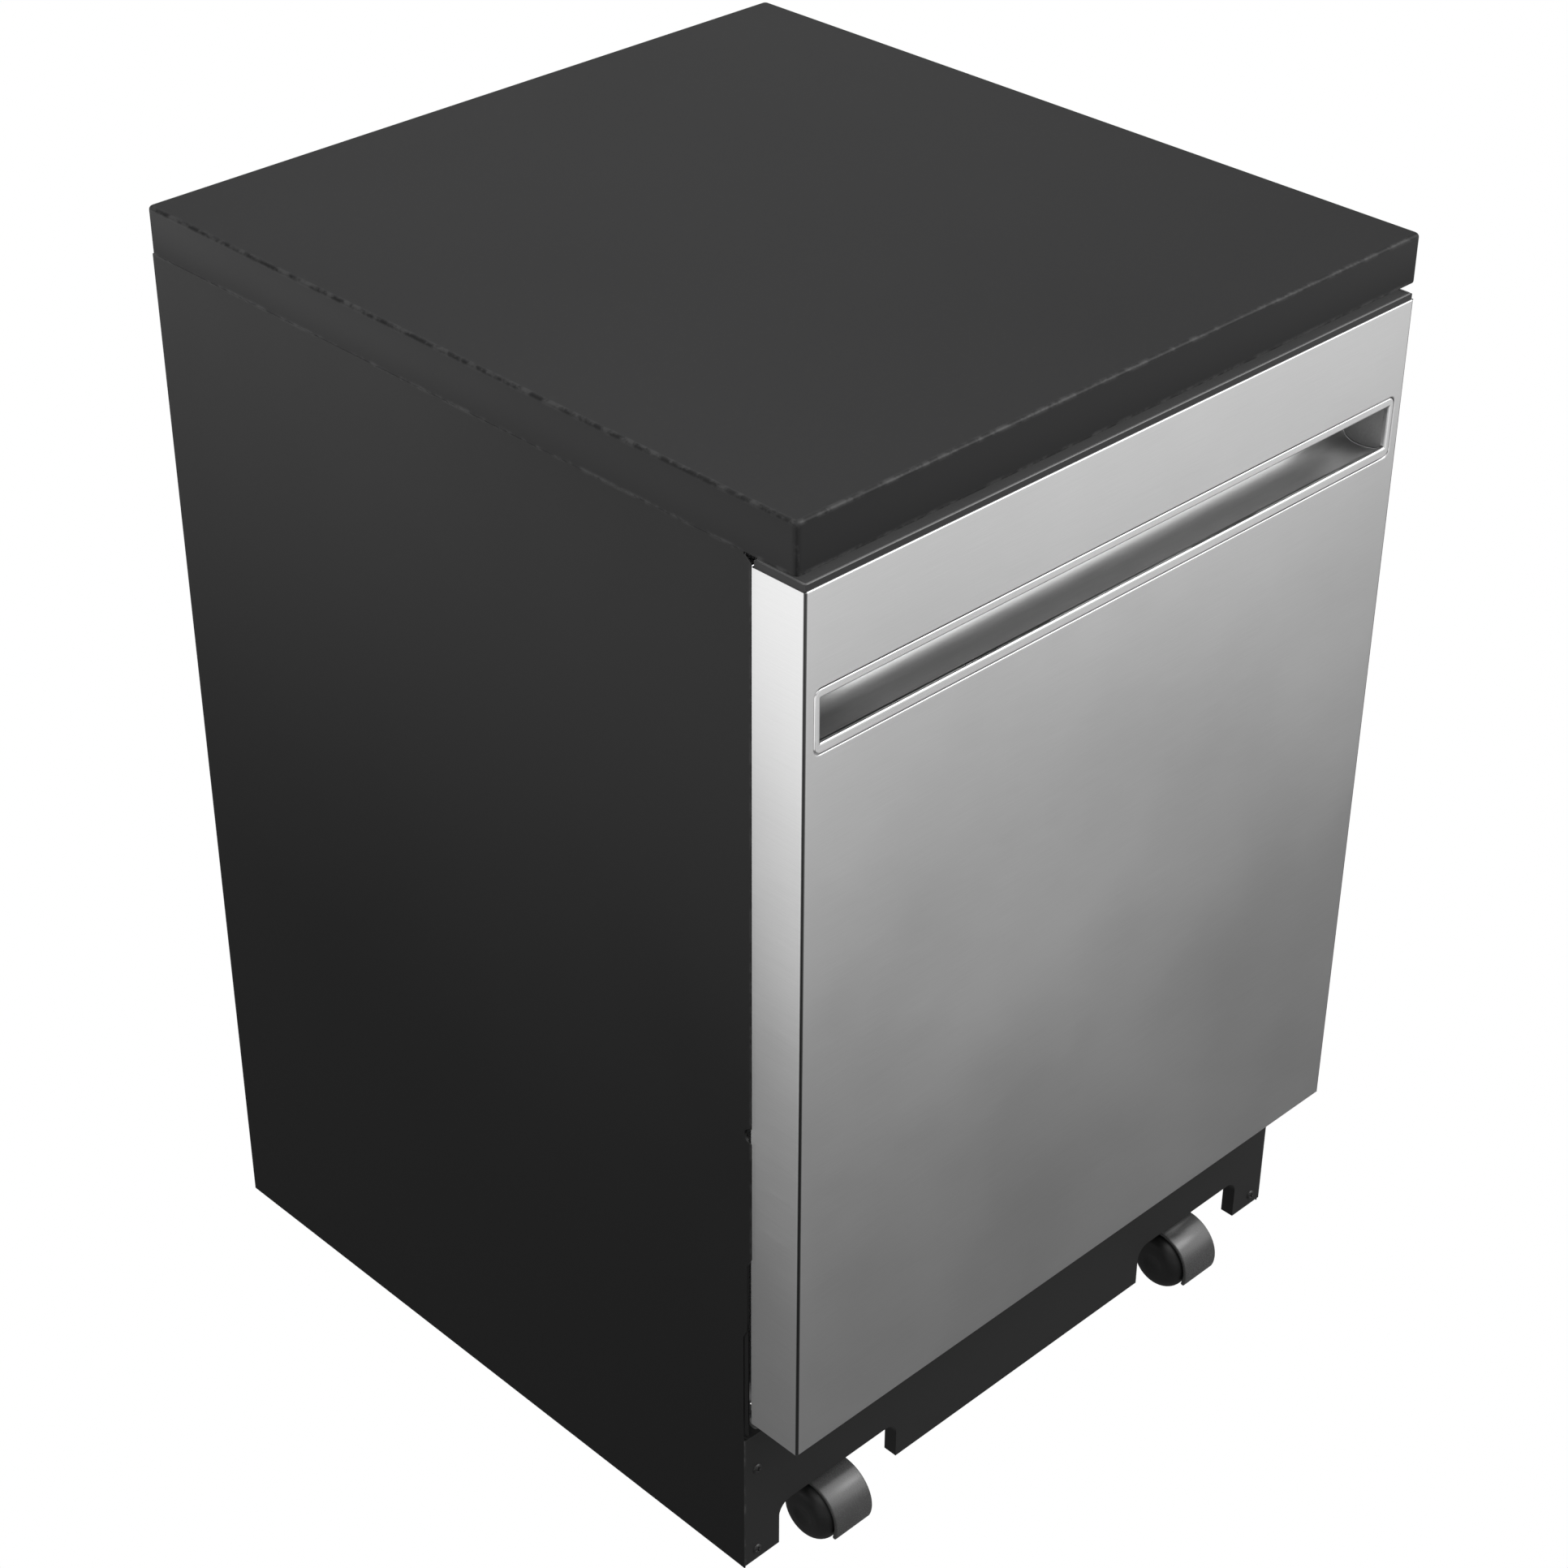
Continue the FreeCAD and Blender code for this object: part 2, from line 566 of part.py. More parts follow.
for name, x, y in corners:
    axle_y = f"{y} - trail"
    hub = (f"{x} - hood_half", axle_y, "wheel_radius")
    band_out = rod(f"band_out_{name}", "x", "hood_out", hub, "2*hood_half")
    band_in = rod(f"band_in_{name}", "x", "hood_in", hub, "2*hood_half")
    band = cut(f"band_{name}", band_out, band_in)
    all_x = around(x, "hood_half + 1")
    all_y = around(axle_y, "hood_out + 1")
    lower = box(f"below_{name}", all_x, all_y, ("-10", "wheel_radius - hood_open"))
    rear_y = (axle_y, f"{axle_y} + hood_out + 1")
    behind = box(f"behind_{name}", all_x, rear_y, ("-10", "wheel_radius + 4"))
    hood = cut(f"hood_band_{name}", band, lower, behind)
    web_foot = (f"{x} - web_half", axle_y, "wheel_radius")
    web_round = rod(f"web_{name}", "x", "hood_in + 0.5", web_foot, "2*web_half")
    web_below = box(
        f"web_below_{name}", around(x, "web_half + 1"), all_y, ("-10", "wheel_radius - hood_open")
    )
    web = cut(f"web_cut_{name}", web_round, web_below)
    horn_foot = "wheel_radius + hood_in - 1.6"
    horn = rod(f"horn_{name}", "z", "horn_radius", (x, y, horn_foot), f"horn_top - ({horn_foot})")
    stem = rod(f"stem_{name}", "z", "stem_radius", (x, y, "horn_top - 1"), "frame_top - horn_top")
    wheel_well = rod(f"well_{name}", "x", "hood_in", hub, "2*hood_half")
    crown = fuse(f"crown_{name}", hood, cut(f"horn_trim_{name}", horn, wheel_well), stem)
    trimmed = fuse(f"hood_solid_{name}", web, crown)
    bore = rod(f"hood_bore_{name}", "x", "axle_radius + fit", (f"{x} - 3", axle_y, "wheel_radius"), 6)
    keep(cut(f"hood_{name}", trimmed, bore), f"caster_hood_{name}")
    axle_half = "wheel_gap + wheel_wide - 3"
    axle = rod(
        f"axle_{name}",
        "x",
        "axle_radius",
        (f"{x} - ({axle_half})", axle_y, "wheel_radius"),
        f"2*({axle_half})",
    )
    wheel_set = [axle]
    for turn, way in (("left", -1), ("right", 1)):
        wheel = doc.addObject("PartDesign::Body", f"wheel_{name}_{turn}")
        outer_face = f"{way}*(wheel_gap + wheel_wide)"
        tread = [
            (f"{way}*wheel_gap", "axle_radius"),
            (f"{way}*({axle_half})", "axle_radius"),
            (f"{way}*({axle_half})", "0"),
            (outer_face, "0"),
            (outer_face, "wheel_radius"),
            (f"{way}*wheel_gap", "wheel_radius"),
        ]
        turned(wheel, f"tread_{name}_{turn}", "XZ_Plane", tread, "H_Axis")
        rounded(wheel, f"shoulder_{name}_{turn}", "min(wheel_shoulder; wheel_wide/2)", is_rim)
        for letter, place in zip("xyz", (x, axle_y, "wheel_radius")):
            bind(wheel, "Placement.Base." + letter, place)
        wheel_set.append(wheel)
    keep(group(f"wheels_{name}", *wheel_set), f"caster_wheels_{name}")

# ---- tub: an open-fronted steel box with a flat frame round its mouth ----
outer_z = ("tub_floor - tub_wall", "tub_roof + tub_wall")
outer = box("tub_outer", around("0", "tub_half + tub_wall"), ("mouth", "tub_back + tub_wall"), outer_z)
face = box(
    "tub_face",
    around("0", "hem_in"),
    ("mouth", "mouth + tub_wall"),
    ("tub_floor - seal_out", "lid_low - 2"),
)
cavity = box("tub_cavity", around("0", "tub_half"), ("mouth - 1", "tub_back"), ("tub_floor", "tub_roof"))
sump_hole = rod("sump_hole", "z", "sump_radius", ("0", "spray_y", "tub_floor - 10"), 20)
float_x = "-tub_half + float_inset"
float_y = "mouth + float_inset"
float_hole = rod("float_hole", "z", 6, (float_x, float_y, "tub_floor - 10"), 20)
latch_slot = box(
    "latch_slot", around("0", 14), ("mouth - 1", "mouth + 5"), ("tub_roof + 4", "tub_roof + 17")
)
keep(cut("tub", fuse("tub_sheet", outer, face), cavity, sump_hole, float_hole, latch_slot), "tub")

# ---- seal: a rubber ring on the tub's frame that the door liner closes on ----
ring_y = ("liner_back + seal_air", "mouth")
ring_outer = box(
    "ring_outer", around("0", "tub_half + seal_out"), ring_y, ("tub_floor - 15", "tub_roof + 2.5")
)
ring_inner_y = ("liner_back", "mouth + 1")
ring_inner = box(
    "ring_inner", around("0", "tub_half + seal_in"), ring_inner_y, ("tub_floor - 5", "tub_roof - 9.5")
)
keep(cut("ring", ring_outer, ring_inner), "tub_seal")

# ---- sump, strainer, removable filter and the tower that feeds the lower arm ----
middle = ("0", "spray_y")
flange_low = "tub_floor - tub_wall - cup_wall"
cup_wall = rod("cup_wall_round", "z", "sump_radius", (*middle, "sump_low"), "sump_deep")
cup_flange = rod("cup_flange", "z", "sump_radius + 8", (*middle, flange_low), "cup_wall")
cup_hollow = rod("cup_hollow", "z", "sump_radius - cup_wall", (*middle, "sump_low + cup_wall"), "sump_deep")
keep(cut("cup", fuse("cup_outer", cup_wall, cup_flange), cup_hollow), "sump")
filter_at = ("filter_offset", "spray_y")
disc = rod("disc", "z", "sump_radius - cup_wall", (*middle, "tub_floor - 6"), 1.6)
tower_hole = rod("tower_hole", "z", "tower_radius", (*middle, "tub_floor - 8"), 6)
filter_hole = rod("filter_hole", "z", "filter_radius + 0.4", (*filter_at, "tub_floor - 8"), 6)
keep(cut("strainer", disc, tower_hole, filter_hole), "filter_plate")
filter_outer = rod("filter_outer", "z", "filter_radius", (*filter_at, "sump_low + 10"), "sump_deep - 8")
filter_inner = rod("filter_inner", "z", "filter_radius - 3", (*filter_at, "sump_low + 13"), "sump_deep")
grip_z = ("tub_floor - 8", "tub_floor + 1")
grip_a = box("grip_a", around("filter_offset", "filter_radius - 2.5"), around("spray_y", 2), grip_z)
grip_b = box("grip_b", around("filter_offset", 2), around("spray_y", "filter_radius - 2.5"), grip_z)
filter_shell = cut("filter_shell", filter_outer, filter_inner)
keep(fuse("filter", filter_shell, fuse("filter_grip", grip_a, grip_b)), "filter_cup")
tower_tube = rod("tower_tube", "z", "tower_radius", (*middle, "sump_low + cup_wall"), "sump_deep + 16")
tower_top = rod("tower_top", "z", "tower_pin", (*middle, "tub_floor + 16"), 25)
keep(fuse("tower_solid", tower_tube, tower_top), "spray_tower")


def spray_arm(label, low, hub_low, hub_radius, bore, bore_low, bore_top, reach):
    """A flat two-ended arm with a round hub, bored for the pin it turns on."""
    body = doc.addObject("PartDesign::Body", label + "_blade")
    tip = f"{reach} - 3"
    narrow = "arm_half*0.55"
    blade = [
        (f"-({tip})", f"-{narrow}"),
        ("0", "-arm_half"),
        (tip, f"-{narrow}"),
        (tip, narrow),
        ("0", "arm_half"),
        (f"-({tip})", narrow),
    ]
    pad(body, label + "_pad", "XY_Plane", ("0", "13"), blade)
    rounded(body, label + "_tips", "arm_half*0.5", lambda e: runs(e, "z") and abs(e.BoundBox.XMax) > 50)
    rounded(body, label + "_edges", "5", lambda e: e.BoundBox.ZMin > 12.99)
    bind(body, "Placement.Base.y", "spray_y")
    bind(body, "Placement.Base.z", low)
    hub = rod(label + "_hub", "z", hub_radius, ("0", "spray_y", hub_low), f"({low}) + 16 - ({hub_low})")
    hole = rod(label + "_bore", "z", bore, ("0", "spray_y", bore_low), f"({bore_top}) - ({bore_low})")
    return cut(label + "_solid", fuse(label + "_joined", body, hub), hole)


lower_bore = ("tub_floor + 20", "tub_floor + 41.5")
lower_arm = spray_arm(
    "lower_arm", "tub_floor + 30", "tub_floor + 20.4", 24, "tower_pin + fit", *lower_bore, "reach"
)
keep(lower_arm, "lower_spray_arm")

# ---- heater: a ring of sheathed element on two legs ----
element = doc.addObject("Part::Torus", "element")
bind(element, "Radius2", "element_radius")
bind(element, "Radius1", "sump_radius + element_gap")
bind(element, "Placement.Base.y", "spray_y")
bind(element, "Placement.Base.z", "tub_floor + 12")
leg_y = "spray_y + sump_radius + element_gap - 1"
legs = [
    rod(f"element_leg_{i}", "z", "element_radius", (x, leg_y, "tub_floor"), 12)
    for i, x in enumerate(("-15", "15"))
]
keep(fuse("heater_ring", element, *legs), "heater")

# ---- float: a dome on a stem that lifts as water rises ----
dome = doc.addObject("PartDesign::Body", "float_dome")
dome_outline = [("0", "-34"), ("4", "-34"), ("4", "6"), ("19", "6"), ("19", "32"), ("0", "32")]
turned(dome, "dome_turn", "XZ_Plane", dome_outline, "V_Axis")
rounded(dome, "dome_top", "9", lambda e: e.BoundBox.ZMin > 31.9 and e.BoundBox.XLength > 20)
for letter, place in zip("xyz", (float_x, float_y, "tub_floor")):
    bind(dome, "Placement.Base." + letter, place)
keep(dome, "water_float")

# ---- pumps, valve and the rear bay with its connections ----
pump_x = "-sump_radius - pump_long + 4"
pump_motor = rod("pump_motor", "x", "pump_radius", (pump_x, "spray_y", "pump_z"), "pump_long")
pump_neck = rod("pump_neck", "x", 20, ("-sump_radius - 10", "spray_y", "pump_z"), 10)
pump_room = rod("pump_room", "z", "sump_radius", (*middle, "sump_low"), "sump_deep")
keep(cut("pump", fuse("pump_solid", pump_motor, pump_neck), pump_room), "circulation_pump")
drain_motor = rod(
    "drain_motor", "x", "drain_radius", ("sump_radius + 4", "spray_y", "pump_z"), "drain_long"
)
drain_neck = rod("drain_neck", "x", 14, ("sump_radius - 10", "spray_y", "pump_z"), 16)
drain_room = rod("drain_room", "z", "sump_radius", (*middle, "sump_low"), "sump_deep")
keep(cut("drain", fuse("drain_solid", drain_motor, drain_neck), drain_room), "drain_pump")
bay_outer_z = ("bay_low - bay_wall", "bay_top + bay_wall")
bay_solid = box("bay_solid", around("0", "bay_half + bay_wall"), ("bay_back", "back - gauge"), bay_outer_z)
bay_hollow = box("bay_hollow", bay_x, ("bay_back + bay_wall", "back"), bay_z)
inlet_x, outlet_x, gland_x = "-fitting_pitch", "0", "fitting_pitch"
through_y = "back - 90"
bay_holes = [
    rod("inlet_hole", "y", "inlet_radius", (inlet_x, through_y, "fitting_z"), 60),
    rod("outlet_hole", "y", "outlet_radius", (outlet_x, through_y, "fitting_z"), 60),
    rod("gland_hole", "y", "gland_radius", (gland_x, through_y, "fitting_z"), 60),
]
keep(cut("bay", bay_solid, bay_hollow, *bay_holes), "hose_bay")
valve_stub = rod("inlet_stub", "y", "inlet_radius", (inlet_x, through_y, "fitting_z"), 52)
valve_block = box("valve_block", around(inlet_x, 24), ("back - 128", through_y), around("fitting_z", 22))
valve_nose = rod("inlet_nose", "y", "inlet_radius - 3", (inlet_x, "back - 39", "fitting_z"), 18)
valve_way = rod("valve_way", "y", "inlet_radius - 7", (inlet_x, "back - 40", "fitting_z"), 24)
keep(cut("valve_bored", fuse("valve", valve_stub, valve_block, valve_nose), valve_way), "inlet_valve")
outlet_body = rod("outlet_body", "y", "outlet_radius", (outlet_x, "back - 110", "fitting_z"), 60)
outlet_nose = rod("outlet_nose", "y", "outlet_radius - 3", (outlet_x, "back - 51", "fitting_z"), 30)
outlet_way = rod("outlet_way", "y", "outlet_radius/2", (outlet_x, "back - 112", "fitting_z"), 95)
keep(cut("outlet_bored", fuse("outlet", outlet_body, outlet_nose), outlet_way), "drain_outlet")
gland_body = rod("gland_body", "y", "gland_radius", (gland_x, "back - 80", "fitting_z"), 26)
gland_flange = rod("gland_flange", "y", "gland_radius + 3", (gland_x, "back - 70", "fitting_z"), 6)
gland_way = rod("gland_way", "y", 4, (gland_x, "back - 82", "fitting_z"), 40)
keep(cut("gland_bored", fuse("gland", gland_body, gland_flange), gland_way), "cord_gland")

# ---- riser: feeds the roof sprinkler up the back of the tub ----
riser_x = around("0", 13)
riser_pipe = box("riser_pipe", riser_x, ("tub_back - 9", "tub_back"), ("tub_floor + 2", "tub_roof"))
riser_roof = box("riser_roof", riser_x, ("spray_y", "tub_back"), ("tub_roof - 10", "tub_roof"))
keep(fuse("riser", riser_pipe, riser_roof), "spray_riser")
rose = doc.addObject("PartDesign::Body", "rose")
rose_outline = [("0", "-24"), ("20", "-24"), ("28", "-16"), ("28", "-12"), ("12", "0"), ("0", "0")]
turned(rose, "rose_turn", "XZ_Plane", rose_outline, "V_Axis")
bind(rose, "Placement.Base.y", "spray_y")
bind(rose, "Placement.Base.z", "tub_roof - 10")
keep(rose, "roof_sprinkler")

# ---- upper rack: basket, side rails, feed pipe and its own arm; rollers stay on the tub ----
rack_y = ("rack_y_front", "rack_y_back")
upper_z = ("upper_rack_low", "upper_rack_top")
keep(
    lattice("upper_basket", around("0", "upper_half"), rack_y, upper_z, size("rack_pitch"), "rack_bar"),
    "upper_rack",
)
rail_in = "upper_half + rail_gap"
rail_pair = []
for side, sign in (("left", -1), ("right", 1)):
    rail_x = flipped((rail_in, f"{rail_in} + rail_wide"), sign)
    rail = box(f"rail_{side}", rail_x, ("rack_y_front - 6", "rack_y_back"), ("rail_low", "rail_top"))
    tab_x = flipped(("upper_half", rail_in), sign)
    tab_z = ("rail_low + 3", "rail_top - 3")
    tabs = [
        box(f"rail_tab_{side}_{i}", tab_x, around(y, 12), tab_z)
        for i, y in enumerate(("rack_y_front + 40", "rack_y_back - 40"))
    ]
    rail_pair.append(fuse(f"rail_solid_{side}", rail, *tabs))
keep(group("rails", *rail_pair), "upper_rack_rails")
roller_end = "upper_half + 5 + roller_wide"
roller_ys = ("mouth + 28", "mouth + 88")
roller_zs = ("rail_top + roller_radius + roller_gap", "rail_low - roller_radius - roller_gap")
spots = [(sign, y, z) for sign in (-1, 1) for y in roller_ys for z in roller_zs]
rollers = []
for i, (sign, y, z) in enumerate(spots):
    start = flipped(("upper_half + 5", roller_end), sign)[0]
    stub = flipped((roller_end, "tub_half"), sign)[0]
    tread = rod(f"roller_tread_{i}", "x", "roller_radius", (start, y, z), "roller_wide")
    pin = rod(f"roller_pin_{i}", "x", "roller_pin", (stub, y, z), f"tub_half - ({roller_end})")
    rollers.append(fuse(f"roller_{i}", tread, pin))
keep(group("upper_rollers", *rollers), "upper_rack_rollers")
pipe_z = ("upper_rack_low - 12", "upper_rack_low")
feed_pipe = box("feed_pipe", around("0", 11), ("spray_y", "tub_back - 10.5"), pipe_z)
feed_boss = rod("feed_boss", "z", 15, (*middle, pipe_z[0]), 12)
feed_pin = rod("feed_pin_round", "z", "feed_pin", (*middle, "upper_rack_low - 36"), 25)
keep(fuse("feed", feed_pipe, feed_boss, feed_pin), "upper_feed_pipe")
blade_low = "upper_rack_low - 37"
upper_bore = ("upper_rack_low - 36.4", "upper_rack_low - 10")
upper_arm = spray_arm("upper_arm", blade_low, blade_low, 20, "feed_pin + fit", *upper_bore, "reach - 14")
keep(upper_arm, "upper_spray_arm")

# ---- lower rack: basket, wheels on short legs and a cutlery basket ----
lower_z = ("lower_rack_low", "lower_rack_top")
basket = lattice("lower_basket", around("0", "lower_half"), rack_y, lower_z, size("rack_pitch"), "rack_bar")
keep(basket, "lower_rack")
wheel_z = "tub_floor + rack_wheel_radius + 0.5"
wheel_ys = ("rack_y_front + 130", "rack_y_front + 210", "rack_y_back - 110", "rack_y_back - 30")
rack_wheels = []
for i, (sign, y) in enumerate([(s, y) for s in (-1, 1) for y in wheel_ys]):
    leg_x = flipped(("lower_half - rack_bar", "lower_half"), sign)
    leg = box(f"rack_leg_{i}", leg_x, around(y, 5), (f"{wheel_z} - 6", "lower_rack_low"))
    stub_x = "lower_half" if sign > 0 else "-lower_half - 1"
    stub = rod(f"rack_stub_{i}", "x", 3, (stub_x, y, wheel_z), 1)
    tyre_x = "lower_half + 1" if sign > 0 else "-lower_half - 9"
    tyre = rod(f"rack_tyre_{i}", "x", "rack_wheel_radius", (tyre_x, y, wheel_z), 8)
    rack_wheels.append(fuse(f"rack_wheel_{i}", leg, stub, tyre))
keep(group("lower_rack_wheels", *rack_wheels), "lower_rack_wheels")
cutlery_x = ("lower_half - 92", "lower_half - 10")
cutlery_y = ("rack_y_front + 40", "rack_y_front + 270")
cutlery_z = ("lower_rack_low + rack_bar", "lower_rack_low + 150")
keep(lattice("cutlery", cutlery_x, cutlery_y, cutlery_z, 24, "3"), "cutlery_basket")

# ---- door: outer pan, liner, hinge arms on pins ----
pan = doc.addObject("PartDesign::Body", "door_pan")
pad(
    pan,
    "pan_block",
    "XY_Plane",
    ("door_foot", "door_head"),
    rectangle(around("0", "door_half"), ("front", "door_back")),
)
rounded(
    pan, "pan_corners", "door_radius", lambda e: runs(e, "z") and e.BoundBox.YMin < size("front") + 0.01
)
inside_x = around("0", "pan_inside")
pocket(
    pan,
    "pan_hollow",
    "XY_Plane",
    ("door_foot + gauge", "door_head"),
    rectangle(inside_x, ("front + gauge", "door_back + 1")),
)
pocket(
    pan,
    "pan_foot",
    "XY_Plane",
    ("door_foot", "door_foot + gauge"),
    rectangle(around("0", "door_half + 1"), ("front + 30", "door_back + 1")),
)
pocket(
    pan,
    "handle_window",
    "XZ_Plane",
    ("front", "front + gauge"),
    rectangle(around("0", "handle_half + 0.8"), ("handle_low - 0.8", "handle_top + 0.8")),
)
rounded(
    pan,
    "handle_corners",
    "handle_corner",
    lambda e: runs(e, "y") and abs(abs(e.BoundBox.XMax) - size("handle_half + 0.8")) < 0.01,
)
keep(pan, "door_skin")

bezel = doc.addObject("PartDesign::Body", "handle_bezel")
pad(
    bezel,
    "bezel_block",
    "XZ_Plane",
    ("front", "front + 4"),
    rectangle(around("0", "handle_half"), ("handle_low", "handle_top")),
)
rounded(bezel, "bezel_corners", "handle_corner - 0.8", lambda e: runs(e, "y"))
opening_x = around("0", "handle_half - handle_rim + 1.7")
opening_z = ("handle_low + handle_rim + 0.9", "handle_top - handle_rim")
pocket(bezel, "bezel_opening", "XZ_Plane", ("front - 1", "front + 5"), rectangle(opening_x, opening_z))
keep(bezel, "handle_frame")
scoop_y = "front + 21.65"
scoop_z = "handle_low + 2 + scoop_radius"
scoop = doc.addObject("Part::Common", "scoop")
scoop.Base = box(
    "scoop_reach", opening_x, ("front", "door_back - 4.6"), ("handle_low", "handle_top - handle_rim")
)
scoop.Tool = rod(
    "scoop_round",
    "x",
    "scoop_radius",
    (opening_x[0], scoop_y, scoop_z),
    f"({opening_x[1]}) - ({opening_x[0]})",
)
scoop_block = box(
    "scoop_block",
    around("0", "handle_half - 2"),
    ("front + 4", "door_back - 2.1"),
    ("handle_low - 2", "handle_top - handle_rim + 3"),
)
keep(cut("scoop_cup", scoop_block, scoop), "handle_cup")

cap_x = around("0", "door_half - gauge - 0.3")
cap_y = ("front + gauge + 0.3", "door_back - 1.2")
cap_hollow = box(
    "cap_hollow",
    around("0", "door_half - gauge - 2.8"),
    ("front + gauge + 2.8", "door_back - 3.7"),
    ("cap_top - 25", "cap_top - 2.5"),
)
button_xs = ("-2*button_pitch - 60", "-button_pitch - 60", "button_pitch + 60", "2*button_pitch + 60")
button_y = "front + 24"
button_holes = [
    box(
        f"button_hole_{i}",
        around(x, "button_wide/2"),
        around(button_y, "button_deep/2"),
        ("cap_top - 4", "cap_top + 1"),
    )
    for i, x in enumerate(button_xs)
]
lens_hole = box("lens_hole", around("0", 46), around(button_y, 8), ("cap_top - 4", "cap_top + 1"))
cap_block = box("cap_block", cap_x, cap_y, ("cap_top - 24", "cap_top"))
keep(cut("cap", cap_block, cap_hollow, lens_hole, *button_holes), "control_strip")
keep(box("lens", around("0", 46), around(button_y, 8), ("cap_top - 2.5", "cap_top")), "display_lens")
for i, x in enumerate(button_xs, start=1):
    key = doc.addObject("PartDesign::Body", f"key_{i}")
    pad(
        key,
        f"key_pad_{i}",
        "XY_Plane",
        ("cap_top - 9", "cap_top + 0.8"),
        rectangle(around(x, "button_wide/2 - button_gap"), around(button_y, "button_deep/2 - button_gap")),
    )
    rounded(key, f"key_edge_{i}", "0.8", lambda e: runs(e, "z") or e.BoundBox.ZMin > size("cap_top + 0.79"))
    keep(key, f"button_{i}")

liner = doc.addObject("PartDesign::Body", "liner")
raised_x = around("0", "tub_half - 7.5")
raised_z = ("tub_floor + 4", "tub_roof - 10")
pad(
    liner,
    "liner_sheet",
    "XZ_Plane",
    ("door_back", "liner_back"),
    rectangle(around("0", "door_half - 0.6"), ("door_foot + 12.4", "door_head - 0.4")),
)
pad(liner, "liner_raised", "XZ_Plane", ("liner_back", "liner_face"), rectangle(raised_x, raised_z))
rounded(
    liner,
    "liner_edges",
    "6",
    lambda e: e.BoundBox.YMin > size("liner_face") - 0.01 or (
        runs(e, "y") and e.BoundBox.YMax > size("liner_face") - 1
    ),
)
hollow_x = around("0", "tub_half - 11.5")
pocket(
    liner,
    "liner_hollow",
    "XZ_Plane",
    ("door_back - 1", "liner_face - gauge"),
    rectangle(hollow_x, ("tub_floor + 8", "tub_roof - 14")),
)
dispenser_x = ("-95", "75")
dispenser_z = ("dispenser_low", "dispenser_low + 120")
pocket(
    liner,
    "dispenser_window",
    "XZ_Plane",
    ("liner_face - 3", "liner_face + 1"),
    rectangle(dispenser_x, dispenser_z),
)
keep(liner, "door_liner")
strike = box(
    "strike", around("0", 9), ("liner_back", "liner_back + 17"), ("tub_roof + 10", "tub_roof + 13")
)
strike_eye = box(
    "strike_eye", around("0", 5), ("liner_back + 7", "liner_back + 13"), ("tub_roof + 9", "tub_roof + 14")
)
keep(cut("strike_plate", strike, strike_eye), "door_strike")

pins, arms, brackets = [], [], []
for side, sign in (("left", -1), ("right", 1)):
    arm_x = flipped(("door_half - 4", "pan_inside"), sign)
    plate = box(f"arm_plate_{side}", arm_x, ("front + 8", "hinge_y"), ("hinge_z", "hinge_z + arm_rise"))
    boss = rod(f"arm_boss_{side}", "x", "arm_boss", (arm_x[0], "hinge_y", "hinge_z"), "4 - gauge")
    hole = rod(f"arm_hole_{side}", "x", "pin_radius + fit", (f"{arm_x[0]} - 1", "hinge_y", "hinge_z"), 6)
    arms.append(cut(f"arm_{side}", fuse(f"arm_solid_{side}", plate, boss), hole))
    post_x = flipped(("door_half - bracket_gap - bracket_wide", "door_half - bracket_gap"), sign)
    ear = rod(f"ear_{side}", "x", "ear_radius", (post_x[0], "hinge_y", "hinge_z"), "bracket_wide")
    post = box(f"post_{side}", post_x, ("kick_fold + 1", "kick_fold + 19"), ("frame_top", "hinge_z"))
    bridge = box(
        f"bridge_{side}", post_x, ("hinge_y", "kick_fold + 10"), ("hinge_z - ear_radius", "hinge_z + 2")
    )
    foot_x = flipped(("door_half - 22", "door_half - bracket_gap"), sign)
    foot_y = ("kick_fold + 1", "kick_fold + 32")
    foot = box(f"post_foot_{side}", foot_x, foot_y, ("frame_top", "frame_top + 3"))
    ear_hole = rod(f"ear_hole_{side}", "x", "pin_radius", (post_x[0], "hinge_y", "hinge_z"), "bracket_wide")
    brackets.append(
        cut(f"bracket_{side}", fuse(f"bracket_solid_{side}", ear, post, bridge, foot), ear_hole)
    )
    pin_x = flipped(("door_half - bracket_gap - bracket_wide", "pan_inside"), sign)
    pin_long = "bracket_gap + bracket_wide - gauge"
    pins.append(rod(f"pin_{side}", "x", "pin_radius", (pin_x[0], "hinge_y", "hinge_z"), pin_long))
keep(group("arm_pair", *arms), "hinge_arms")
keep(group("bracket_pair", *brackets), "hinge_brackets")
keep(group("pin_pair", *pins), "hinge_pins")
springs = []
coil_front = "kick_fold + 38"
for side, sign in (("left", "-"), ("right", "")):
    spring_at = f"{sign}spring_x"
    coil = rod(
        f"coil_{side}", "y", "spring_radius", (spring_at, coil_front, "spring_z"), f"-({coil_front})"
    )
    tail = rod(f"coil_tail_{side}", "y", 1.5, (spring_at, "-1", "spring_z"), "spring_anchor + 1")
    nose = rod(f"coil_nose_{side}", "y", 1.5, (spring_at, "kick_fold + 19", "spring_z"), 20)
    springs.append(fuse(f"spring_{side}", coil, tail, nose))
keep(group("door_springs", *springs), "door_springs")

